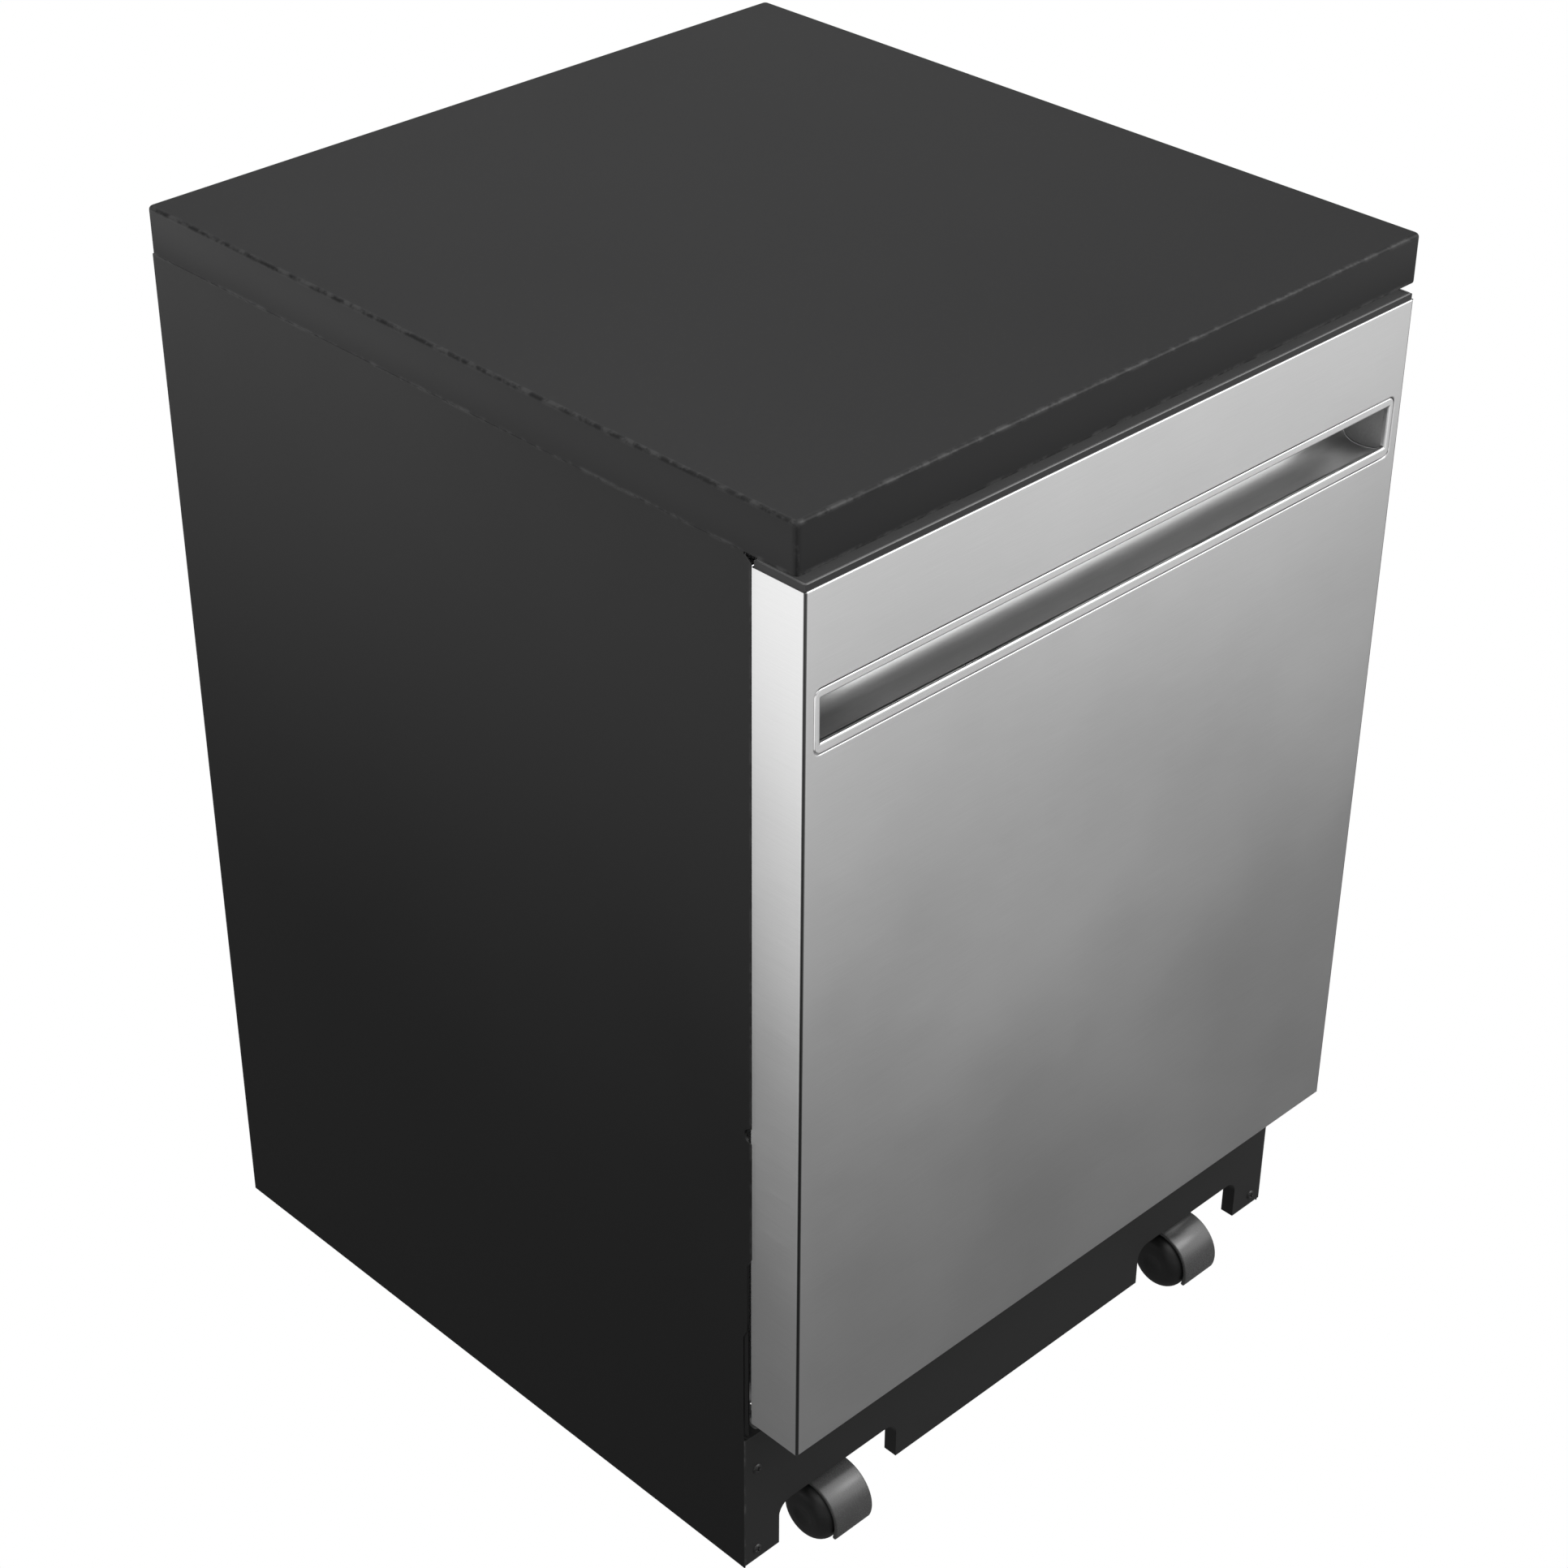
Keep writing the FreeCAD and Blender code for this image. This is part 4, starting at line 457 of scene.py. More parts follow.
def brushed(name, colour, rough, lay, **shader):
    """Brushed steel: grain a hundred times longer along the brush than across it."""
    return finish(
        name, colour, rough, metal=1.0, fine=1.0, slow=4, lay=lay, mottle=0.05, spread=0.035, bump=0.35,
        depth=0.00006, anisotropic=0.55, anisotropic_rotation=0.25, **shader
    )


def shaded(material, amount):
    """A finish whose colour is multiplied by an amount that changes over the surface."""
    tree = material.node_tree
    colour = next(n for n in tree.nodes if n.type == "BSDF_PRINCIPLED").inputs["Base Color"]
    tone = linked(tree, "ShaderNodeVectorMath", colour.links[0].from_socket, operation="SCALE")
    tree.links.new(amount, tone.inputs["Scale"])
    tree.links.new(tone.outputs[0], colour)


door_steel = brushed("door_steel", grey(0.63), 0.31, (24, 24, 2600))
# Along the outer line of the two front folds a dark line is painted into the colour, a painted dark
# reflection:
# the colour falls to an eighth within 0.8 mm of the line, by the distance to it.
tree = door_steel.node_tree
here = linked(tree, "ShaderNodeTexCoord").outputs["Object"]
x, y, z = linked(tree, "ShaderNodeSeparateXYZ", here).outputs
from_side = sum_of(tree, "SUBTRACT", high.x - 0.0009, sum_of(tree, "ABSOLUTE", x))
from_front = sum_of(tree, "SUBTRACT", y, low.y + 0.0006)
off = linked(tree, "ShaderNodeCombineXYZ", from_side, from_front, 0.0)
fold_away = linked(tree, "ShaderNodeVectorMath", off.outputs[0], operation="LENGTH").outputs["Value"]
shaded(door_steel, ramp(tree, fold_away, 0.0008, 0.0016, 0.12, 1.0))
frame_low, frame_high = (window_low.x, window_low.z), (window_high.x, window_high.z)
window = outline(np.array(frame_low) - FRAME_GAP, np.array(frame_high) + FRAME_GAP, 0.006)
rim = outline((low.x, low.z), (high.x, high.z), 0.0006)
at_side = (abs(rim[:, 0]) > high.x - 0.0003) & (rim[:, 1] < high.z - 0.0003)
at_head = (rim[:, 1] > high.z - 0.0007) & ~at_side
bend = np.where(at_side, SIDE_BEND, np.where(at_head, HEAD_BEND, FOOT_BEND))
back = np.where(at_side, high.y, np.where(at_head, low.y + 0.0012, low.y + FOOT_RETURN))


def stood(ring, depth):
    """An outline in X and Z set at a depth, one for all its points or one for each."""
    return np.stack([ring[:, 0], np.broadcast_to(depth, len(ring)), ring[:, 1]], -1)


def inside(ring, sides, head, foot):
    """The rim's outline drawn in by one amount at both sides, one at the head and one at the foot."""
    x = np.clip(ring[:, 0], low.x + sides, high.x - sides)
    z = np.clip(ring[:, 1], low.z + foot, high.z - head)
    return np.stack([x, z], -1)


def swelled(ring, amount):
    """The window's outline pushed outwards by one amount along both X and Z."""
    middle = np.array([(window_low.x + window_high.x) / 2, (window_low.z + window_high.z) / 2])
    return ring + np.sign(ring - middle) * amount


edge = [stood(inside(rim, SIDE_BEND + HOLD, HEAD_BEND + HOLD, FOOT_BEND + HOLD), low.y)]
for a in np.linspace(0, np.pi / 2, 7):
    left_over = 1 - np.sin(a)
    drawn = inside(rim, SIDE_BEND * left_over, HEAD_BEND * left_over, FOOT_BEND * left_over)
    edge.append(stood(drawn, low.y + bend * (1 - np.cos(a))))
thin = inside(rim, SHEET, SHEET, SHEET)
edge += [stood(rim, back), stood(thin, back), stood(thin, low.y + SHEET)]
lip_run = ((0, SHEET), (0, 0.0007), (0.0001, 0.0003), (0.0003, 0.0001), (0.0007, 0), (0.0011, 0))
lip = [stood(swelled(window, outwards), low.y + depth) for outwards, depth in lip_run]
shell = skin(np.array(lip + edge), ring=True)
door_pan = piece("door_pan", [shell], "door", door_steel, ["door_skin"])

# ---- handle ----
# A satin metal frame set flush in the door's window, its opening turned back in a lip. Behind it a long
# scooped recess, an arc of 50 mm radius closed by a flat wall at each end, takes the fingers.
FRAME_RIM, FRAME_LIP, FRAME_HEAD = 0.0047, 0.0073, 0.0064
SCOOP_RADIUS = 0.050
SCOOP_CENTRE = (low.y + 0.02165, window_low.z + 0.052)
SCOOP_FRONT, SCOOP_BACK = low.y + 0.0030, low.y + 0.0415
frame_metal = brushed("handle_satin", grey(0.70), 0.30, (30, 30, 2600))
opening_low = (window_low.x + FRAME_RIM, window_low.z + FRAME_LIP)
opening_high = (window_high.x - FRAME_RIM, window_high.z - FRAME_HEAD)


def frame_ring(grow, depth, radius, inner=True):
    """The opening's or the frame's own outline grown by an amount, at a depth."""
    first, last = (opening_low, opening_high) if inner else (frame_low, frame_high)
    return stood(outline(np.array(first) - grow, np.array(last) + grow, radius), depth)


roll, soft = 0.0014, 0.0007
rows = [frame_ring(0, low.y + 0.0040, 0.001)]
for a in np.radians(np.linspace(0, 90, 6)):
    rows.append(frame_ring(roll * (1 - np.cos(a)), low.y + roll * (1 - np.sin(a)), 0.001))
rows += [frame_ring(roll + 0.0003, low.y, 0.0012), frame_ring(-soft - 0.0003, low.y, 0.0045, inner=False)]
for a in np.radians(np.linspace(0, 90, 5)):
    rows.append(frame_ring(-soft * (1 - np.sin(a)), low.y + soft * (1 - np.cos(a)), 0.005, inner=False))
rows += [frame_ring(0, low.y + 0.0035, 0.005, inner=False)]
shell = skin(np.array(rows), ring=True)
bezel = piece("handle_bezel", [shell], "door", frame_metal, ["handle_frame"])

recess_metal = finish(
    "handle_recess_satin", grey(0.54), 0.45, metal=0.72, fine=1.0, slow=4, lay=(30, 400, 400), mottle=0.05,
    spread=0.04, bump=0.35, depth=0.00006,
)
# The floor's arc runs on into the tighter arc that turns up the back.
BACK_RADIUS = 0.017
start = np.arcsin((SCOOP_FRONT - SCOOP_CENTRE[0]) / SCOOP_RADIUS)
stop = np.arcsin((SCOOP_BACK - BACK_RADIUS - SCOOP_CENTRE[0]) / (SCOOP_RADIUS - BACK_RADIUS))
swing = np.linspace(start, stop, 30)[:, None]
floor_line = np.array(SCOOP_CENTRE) + SCOOP_RADIUS * np.hstack([np.sin(swing), -np.cos(swing)])
turn = np.linspace(stop, np.pi / 2, 20)[1:, None]
knee_centre = floor_line[-1] + BACK_RADIUS * np.array([-np.sin(stop), np.cos(stop)])
knee = knee_centre + BACK_RADIUS * np.hstack([np.sin(turn), -np.cos(turn)])
ceiling = opening_high[1] + 0.0004
section = np.concatenate([
    [(SCOOP_FRONT, opening_low[1])], floor_line, knee, [(SCOOP_BACK, ceiling - 0.004)],
    [(SCOOP_BACK - 0.001, ceiling - 0.001)], [(SCOOP_BACK - 0.004, ceiling)], [(SCOOP_FRONT, ceiling)],
])
stations = np.linspace(window_low.x + FRAME_RIM, window_high.x - FRAME_RIM, 9)


def drawn_along(profile, places):
    """A profile in Y and Z, repeated at each place along X."""
    return np.array([np.column_stack([np.full(len(profile), x), profile]) for x in places])


sheet = skin(drawn_along(section, stations), tube=False, caps=False)
scoop = piece("handle_scoop", [sheet], "door", recess_metal, ["handle_cup"], wall=-0.0012)


def tube(path, radius, around=8, closed=False):
    """A round bar along a path: at each point a circle across the path's direction, its first spoke square
    to the axis that the path turns round least."""
    path = np.array(path, float)
    ahead = (np.roll(path, -1, 0) - np.roll(path, 1, 0)) if closed else np.gradient(path, axis=0)
    ahead = ahead / np.linalg.norm(ahead, axis=1, keepdims=True)
    pole = np.eye(3)[np.argmin(np.abs(ahead).max(0))]
    first = np.cross(ahead, pole)
    first = first / np.linalg.norm(first, axis=1, keepdims=True)
    second = np.cross(ahead, first)
    a = np.linspace(0, 2 * np.pi, around, endpoint=False)[None, :, None]
    grid = path[:, None] + radius * (np.cos(a) * first[:, None] + np.sin(a) * second[:, None])
    return skin(grid, ring=closed)


# The dark moulding behind the metal closes the recess above and behind.
HOUSING_GAP = 0.0014
housing_black = finish(
    "recess_housing", grey(0.07), 0.5, fine=900, slow=30, mottle=0.12, bump=0.3, depth=0.00005
)
path = [
    (low.y + 0.0045, ceiling + HOUSING_GAP), (SCOOP_BACK + HOUSING_GAP, ceiling + HOUSING_GAP),
    (SCOOP_BACK + HOUSING_GAP, SCOOP_CENTRE[1] - SCOOP_RADIUS),
]
sheet = skin(drawn_along(path, stations), tube=False, caps=False)
piece("recess_housing", [sheet], "door", housing_black, wall=-0.0009)

# A flat plate closes each end of the recess, and a fine bead of metal runs where the arc meets it.
END_PLATE, SEAM_RADIUS = 0.0012, 0.0006
end_plastic = finish(
    "recess_end", grey(0.30), 0.32, fine=900, slow=30, mottle=0.12, bump=0.3, depth=0.00005,
    specular_ior_level=0.5,
)
arc = np.concatenate([floor_line, knee[:-1]]) + (-0.0002, 0.0003)
ends, seams = [], []
for sign in (-1, 1):
    x = sign * (window_high.x - FRAME_RIM + 0.0001)
    ends.append(skin(drawn_along(section, (x, x + sign * END_PLATE))))
    seams.append(tube(drawn_along(arc, [x - sign * 0.0004])[0], SEAM_RADIUS, 6))
piece("recess_ends", ends, "door", end_plastic, smooth=30)
piece("recess_seams", seams, "door", frame_metal)
# The steel panels mirror the room and not one another, so no dark band of a neighbour lies along a fold.
panels = [nodes["side_panel_left"], nodes["side_panel_right"], bpy.data.objects["worktop_slab"]]
for sheet in [door_pan, bezel, scoop] + panels:
    sheet.visible_glossy = False

# ---- control strip ----
# A dark grey moulding in the top of the door, edged with a raised bead. It holds four keys and a smoked
# window and shows only when the door is let down a little.
strip_low, strip_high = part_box("control_strip")
strip_plastic = finish(
    "strip_plastic", grey(0.018, (1, 1, 1.02)), 0.42, fine=1600, slow=12, mottle=0.12, bump=0.35,
    depth=0.00005,
    dusty=0.05, specular_ior_level=0.3,
)
dress(strip_plastic, "control_strip")
BEAD = 0.0011
bead_plastic = finish(
    "strip_bead", grey(0.085), 0.3, fine=1600, slow=12, mottle=0.1, bump=0.25, depth=0.00004
)
angle = np.linspace(0, 2 * np.pi, 12, endpoint=False)
rows = []
for a in angle:
    inset = BEAD * (1 - np.cos(a))
    near, far = (strip_low.x + inset, strip_low.y + inset), (strip_high.x - inset, strip_high.y - inset)
    loop = outline(near, far, max(0.0025 - inset, 0.0004))
    rows.append(np.column_stack([loop, np.full(len(loop), strip_high.z - 0.0004 + BEAD * np.sin(a))]))
piece("strip_bead", [skin(np.array(rows), ring=True)], "door", bead_plastic)
lens_smoke = finish(
    "lens_smoke", grey(0.006, (1, 1, 1.1)), 0.08, fine=300, slow=8, mottle=0.1, spread=0.02, bump=0.02,
    coat_weight=0.6, coat_roughness=0.05,
)
low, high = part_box("display_lens")
pane = slab(low, (high.x, high.y, high.z + 0.0003), 0.002, 0.0005, 0.0002)
piece("display_window", [pane], "door", lens_smoke, ["display_lens"])
key_plastic = finish("key_plastic", grey(0.13), 0.36, fine=1800, slow=30, mottle=0.1, bump=0.3, depth=0.00004)
lamp_green = finish("lamp_lens", (0.05, 0.24, 0.09, 1), 0.2, fine=900, slow=30, mottle=0.2, coat_weight=0.5)
for number in (1, 2, 3, 4):
    name = f"button_{number}"
    low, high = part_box(name)
    cap = slab(low, high, 0.0018, 0.0008, 0.0002)
    piece(f"key_{number}", [cap], name, key_plastic, [name])
    spot = np.array([(low.x + high.x) / 2, low.y + 0.0014, high.z - 0.0001])
    lamp = slab(spot - (0.002, 0.0005, 0.0003), spot + (0.002, 0.0005, 0.0002), 0.0004, 0.0002, 0.0001)
    piece(f"key_lamp_{number}", [lamp], name, lamp_green)

# ---- casters ----
# Twin-wheel casters: a moulded hood bridges two domed wheels on one axle and carries the stem that plugs
# into the base frame. Hood and wheels are black nylon, the hood a little glossier; its colour is a lighter
# grey than the wheels', partly its own dark grey and partly a painted highlight for its broad sheen.
wheel_low, wheel_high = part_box("caster_wheels_front_left")
hood_nylon = finish(
    "hood_nylon", grey(0.070), 0.27, fine=1100, slow=14, mottle=0.15, bump=0.3, depth=0.00006, dusty=0.03,
)
wheel_nylon = finish(
    "wheel_nylon", grey(0.012), 0.46, fine=700, slow=18, mottle=0.2, bump=0.4, depth=0.0001, dusty=0.05,
)
axle_steel = finish("axle_steel", grey(0.4), 0.3, metal=1.0, lay=(60, 60, 60), fine=20, slow=30, mottle=0.15)
HOOD_HALF, HOOD_BAND, WEB_HALF, TRAIL = 0.0196, 0.0034, 0.0016, 0.022
WHEEL_GAP, AXLE_RADIUS, DOME = 0.0026, 0.003, 0.012
WHEEL_RADIUS = (wheel_high.z - wheel_low.z) / 2
HOOD_IN = WHEEL_RADIUS + 0.0011


def lathe(profile, centre, lay=(0, 1, 2), around=48):
    """A profile of places along an axis and radii turned about it. Lay names the axis, then the other two."""
    profile = np.array(profile, float)
    turn = np.linspace(0, 2 * np.pi, around, endpoint=False)
    grid = np.stack([
        np.broadcast_to(profile[:, :1], (len(profile), around)),
        profile[:, 1:] * np.cos(turn),
        profile[:, 1:] * np.sin(turn),
    ], -1)
    return skin(grid[..., np.argsort(lay)] + np.array(centre, float))


def middle_of(name):
    """The middle of a node's box."""
    return np.array([(a + b) / 2 for a, b in zip(*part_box(name))])


for corner in ("front_left", "front_right", "rear_left", "rear_right"):
    centre = middle_of(f"caster_wheels_{corner}")
    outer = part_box(f"caster_wheels_{corner}")[1].x - centre[0]
    a = np.radians(np.linspace(0, 90, 14))[1:]
    tread = [
        (WHEEL_GAP, AXLE_RADIUS), (WHEEL_GAP, WHEEL_RADIUS - 0.0015), (WHEEL_GAP + 0.0015, WHEEL_RADIUS),
        (outer - DOME, WHEEL_RADIUS),
    ]
    dome = np.stack([outer - DOME + 0.0118 * np.sin(a), WHEEL_RADIUS - DOME * (1 - np.cos(a))], -1)
    face = [(outer - 0.0001, 0.011), (outer, 0.008), (outer - 0.0008, 0.0068), (outer - 0.001, 0.0)]
    run = np.concatenate([tread, dome, face])
    wheels = [lathe(run * (sign, 1), centre) for sign in (-1, 1)]
    rider = f"wheels_{corner}"
    piece(f"wheel_pair_{corner}", wheels, rider, wheel_nylon, [f"caster_wheels_{corner}"])
    end = WHEEL_GAP + 0.001
    axle = lathe([(-end, 0.0), (-end, AXLE_RADIUS), (end, AXLE_RADIUS), (end, 0.0)], centre, around=24)
    piece(f"axle_{corner}", [axle], rider, axle_steel)

    # The hood's band: a rounded bar 39 mm wide bent round the wheels, drawn in by a fiftieth at both lips.
    lean = np.radians(np.linspace(-22, 189, 60))[:, None]
    t = np.linspace(0, 1, 60)[:, None]
    lip = np.clip(1 - np.minimum(t, 1 - t) * 26, 0, 1) ** 2
    bar = outline((-HOOD_HALF, 0), (HOOD_HALF, HOOD_BAND), 0.0014, sides=2, corner=5)
    across, radius = bar[None, :, 0] * (1 - 0.02 * lip), HOOD_IN + bar[None, :, 1]
    band = skin(np.stack([across, -np.cos(lean) * radius, np.sin(lean) * radius], -1) + centre)
    # The web between the two wheels, a disc cut off level with the lips.
    lean = np.radians(np.linspace(-22, 202, 60))
    disc = (HOOD_IN + 0.0004) * np.stack([-np.cos(lean), np.sin(lean)], -1)
    web = skin(drawn_along(disc, (-WEB_HALF, WEB_HALF)) + centre)
    # The horn on top of the band and the steel stem that plugs into the base frame.
    stem_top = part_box(f"caster_hood_{corner}")[1].z
    swivel = np.array([centre[0], centre[1] + TRAIL, 0])
    crown = centre[2] + HOOD_IN
    top = crown + HOOD_BAND + 0.002
    flare = np.linspace(0, 1, 9)
    cone = np.stack([crown + 0.0020 + (top - crown - 0.0020) * flare, 0.011 - 0.0006 * flare**2], -1)
    horn = [(crown - 0.0016, 0.0), (crown - 0.0016, 0.0125), *cone, (top, 0.0098), (top, 0.0)]
    stem = [
        (top - 0.001, 0.0), (top - 0.001, 0.0055), (stem_top - 0.0012, 0.0055), (stem_top, 0.0045),
        (stem_top, 0.0),
    ]
    shells = [band, web, lathe(horn, swivel, (2, 0, 1), 32)]
    rider = f"caster_{corner}"
    piece(f"hood_{corner}", shells, rider, hood_nylon, [f"caster_hood_{corner}"])
    piece(f"stem_{corner}", [lathe(stem, swivel, (2, 0, 1), 24)], rider, axle_steel)

# ---- back, base frame and rear bay ----
# A zinc coated sheet closes the back, stiffened by pressed ribs, with a window for the bay that stows the
# hoses. Under the cabinet a welded square tube frame takes the casters.
low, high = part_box("back_panel")
bay_low, bay_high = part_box("hose_bay")
BAY_WALL, RIB_DEEP = 0.003, 0.0035
hole_low = np.array([bay_low.x + BAY_WALL, bay_low.z + BAY_WALL])
hole_high = np.array([bay_high.x - BAY_WALL, bay_high.z - BAY_WALL])
xs = np.unique(np.concatenate([np.linspace(low.x, high.x, 121), [hole_low[0], hole_high[0]]]))
zs = np.unique(np.concatenate([np.linspace(low.z, high.z, 171), [hole_low[1], hole_high[1]]]))
x, z = np.meshgrid(xs, zs)


def rib(along, start, stop, across, middle, half):
    """A long pressed rib: one minus the square of the distance from a centre line with round ends, measured
    in half widths and raised to 0.7."""
    away = np.hypot(np.maximum(np.maximum(start - along, along - stop), 0), across - middle) / half
    return np.clip(1 - away**2, 0, 1) ** 0.7


press = sum(rib(z, 0.26, 0.84, x, middle, 0.012) for middle in (-0.22, -0.11, 0, 0.11, 0.22))
press = press + rib(x, -0.25, 0.25, z, low.z + 0.008, 0.006)
sheet = np.stack([x, high.y - RIB_DEEP * np.clip(press, 0, 1), z], -1)
index = np.arange(x.size).reshape(x.shape)
quads = np.stack([index[:-1, :-1], index[:-1, 1:], index[1:, 1:], index[1:, :-1]], -1)
cx, cz = (x[:-1, :-1] + x[1:, 1:]) / 2, (z[:-1, :-1] + z[1:, 1:]) / 2
kept = ~((cx > hole_low[0]) & (cx < hole_high[0]) & (cz > hole_low[1]) & (cz < hole_high[1]))
zinc_coat = finish(
    "zinc_coated_sheet", grey(0.44, (0.98, 1, 1.02)), 0.42, metal=0.6, fine=420, slow=7, mottle=0.07,
    spread=0.04, bump=0.12, depth=0.00004, dusty=0.03,
)
inner = sheet - (0, SHEET, 0)
front_faces, back_faces = quads[kept].tolist(), (quads[kept][:, ::-1] + x.size).tolist()
edges = np.concatenate([quads[kept][:, [i, (i + 1) % 4]] for i in range(4)])
key = np.sort(edges, axis=1)
_, first, uses = np.unique(key[:, 0] * x.size + key[:, 1], return_index=True, return_counts=True)
open_edges = edges[first[uses == 1]]
walls = np.column_stack([open_edges[:, ::-1], open_edges + x.size]).tolist()
points = np.concatenate([sheet.reshape(-1, 3), inner.reshape(-1, 3)])
used = np.unique(np.array(front_faces + back_faces + walls))
renamed = np.zeros(len(points), int)
renamed[used] = np.arange(len(used))
faces = renamed[np.array(front_faces + back_faces + walls)].tolist()
piece("rear_sheet", [(points[used], faces)], "cabinet", zinc_coat, ["back_panel"], smooth=60)
spots = [
    (x, z)
    for x in (low.x + 0.012, low.x + 0.2, high.x - 0.2, high.x - 0.012)
    for z in (low.z + 0.022, high.z - 0.016)
]
spots += [(x, z) for x in (low.x + 0.012, high.x - 0.012) for z in np.linspace(low.z + 0.2, high.z - 0.2, 3)]
heads = [screw_head((x, high.y - 0.0012, z), (0, 1, 0), 0.004, 0.0012) for x, z in spots]
piece("rear_screws", heads, "cabinet", zinc)
frame_paint = finish(
    "frame_paint", grey(0.02), 0.5, fine=500, slow=12, mottle=0.2, spread=0.08, bump=0.35, depth=0.0001,
    edge=grey(0.08), box=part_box("base_frame"), edge_wide=0.003, dusty=0.06,
)
dress(frame_paint, "base_frame", "hinge_arms", "hinge_brackets")
bay_plastic = finish(
    "bay_plastic", grey(0.018), 0.5, fine=1300, slow=14, mottle=0.15, spread=0.06, bump=0.5, depth=0.00008,
    dusty=0.1,
)
dress(bay_plastic, "hose_bay", "cord_gland", "latch_housing")
# Ribs mould the bay's back wall stiff.
rib_foot = np.array([-0.0012, bay_low.y + BAY_WALL - 0.0005, bay_low.z + 0.002])
rib_top = np.array([0.0012, bay_low.y + BAY_WALL + 0.004, bay_low.z + 0.03])
ribs = [
    slab(rib_foot + (x, 0, 0), rib_top + (x, 0, 0), 0.001, 0.0008, 0.0008)
    for x in np.linspace(bay_low.x + 0.02, bay_high.x - 0.02, 9)
]
piece("bay_ribs", ribs, "cabinet", bay_plastic)

# Three fittings stand side by side in the bay, 80 mm apart: a brass inlet with a turned thread of eight
# turns, a barbed drain outlet and a gland for the cord with a six-sided nut.
FITTING_PITCH = 0.08
brass = finish(
    "turned_brass", (0.62, 0.43, 0.16, 1), 0.26, metal=1.0, lay=(60, 900, 60), fine=1.5, slow=40, mottle=0.12,
    bump=0.2,
)
dress(brass, "inlet_valve")
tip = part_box("inlet_valve")[1].y
nose = (-FITTING_PITCH, 0, middle_of("inlet_valve")[2])
turns = np.linspace(0, 1, 90)
crest = 0.0101 + 0.0008 * np.abs(np.sin(turns * np.pi * 8)) ** 0.7
thread = [(tip - 0.0155, 0.0098), *zip(tip - 0.0155 + 0.0140 * turns, crest), (tip - 0.0010, 0.0098)]
piece("inlet_thread", [lathe(thread, nose, (1, 0, 2), 40)], "cabinet", brass)
fitting_plastic = finish(
    "fitting_plastic", grey(0.24), 0.42, fine=1200, slow=20, mottle=0.12, bump=0.4, depth=0.00008, dusty=0.05,
)
dress(fitting_plastic, "drain_outlet")
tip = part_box("drain_outlet")[1].y
nose = (0, 0, middle_of("drain_outlet")[2])
barbs = [(tip - 0.0285, 0.0079)]
for start in tip - 0.028 + 0.005 * np.arange(5):
    barbs += [(start, 0.0081), (start + 0.0002, 0.0094), (start + 0.0046, 0.0081)]
barbs += [(tip - 0.0025, 0.0079)]
piece("drain_barbs", [lathe(barbs, nose, (1, 0, 2), 40)], "cabinet", fitting_plastic)
NUT_RADIUS, NUT_BORE = 0.0118, 0.005
tip, nut_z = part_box("cord_gland")[1].y, middle_of("cord_gland")[2]
turn = np.linspace(0, 2 * np.pi, 48, endpoint=False)
nut = []
for y, scale in ((0.0, 0.92), (0.0006, 1.0), (0.0056, 1.0), (0.0064, 0.9), (0.0064, 0.0), (0.0, 0.0)):
    six = NUT_RADIUS * scale * np.cos(np.pi / 6) / np.cos((turn % (np.pi / 3)) - np.pi / 6)
    six = np.minimum(six, NUT_RADIUS * scale) if scale else np.full(48, NUT_BORE)
    ring = [FITTING_PITCH + six * np.cos(turn), np.full(48, tip + y - 0.001), nut_z + six * np.sin(turn)]
    nut.append(np.stack(ring, -1))
piece("gland_nut", [skin(np.array(nut), ring=True)], "cabinet", bay_plastic, smooth=30)

# ---- pumps and sump ----
# Black moulded pump housings on each side of the grey sump cup. A perforated strainer covers the cup, and a
# mesh filter twists out of it.
pump_plastic = finish(
    "pump_plastic", grey(0.03), 0.45, fine=900, slow=12, mottle=0.15, bump=0.4, depth=0.0001, dusty=0.06
)
dress(pump_plastic, "circulation_pump", "drain_pump")
motor = middle_of("circulation_pump") * (0, 1, 1)
motor_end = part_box("circulation_pump")[0].x
fin = np.array([(-0.0012, 0.037), (-0.001, 0.0398), (0.001, 0.0398), (0.0012, 0.037)])
fins = [lathe(fin + (x, 0), motor) for x in np.linspace(motor_end + 0.012, motor_end + 0.085, 9)]
piece("pump_fins", fins, "cabinet", pump_plastic)
sump_plastic = finish(
    "sump_plastic", grey(0.16), 0.45, fine=1000, slow=10, mottle=0.12, bump=0.4, depth=0.0001
)
dress(sump_plastic, "sump")
strainer = finish(
    "strainer_steel", grey(0.5), 0.3, metal=1.0, lay=(1, 1, 1), fine=300, slow=20, mottle=0.12, bump=0.3
)
# Its holes are painted, not cut: they lie on a square pitch of 2.6 mm, dark within a quarter of the pitch of
# their middles, painted shade for the openings.
PITCH = 0.0026
tree = strainer.node_tree
here = linked(tree, "ShaderNodeTexCoord").outputs["Object"]
flat = linked(tree, "ShaderNodeVectorMath", here, (1 / PITCH, 1 / PITCH, 0), operation="MULTIPLY")
cell = linked(tree, "ShaderNodeVectorMath", flat.outputs[0], operation="FRACTION")
off = linked(tree, "ShaderNodeVectorMath", cell.outputs[0], (0.5, 0.5, 0), operation="DISTANCE")
shaded(strainer, ramp(tree, off.outputs["Value"], 0.26, 0.34, 0.04, 1.0))
dress(strainer, "filter_plate")
mesh_grey = finish("filter_grey", grey(0.2), 0.4, fine=1000, slow=20, mottle=0.12, bump=0.4, depth=0.0001)
dress(mesh_grey, "filter_cup")
collar = [(-0.009, 0.0312), (-0.009, 0.0338), (-0.0018, 0.0338), (-0.0012, 0.033), (-0.0012, 0.0312)]
collar = np.array(collar) + (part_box("filter_cup")[1].z, 0)
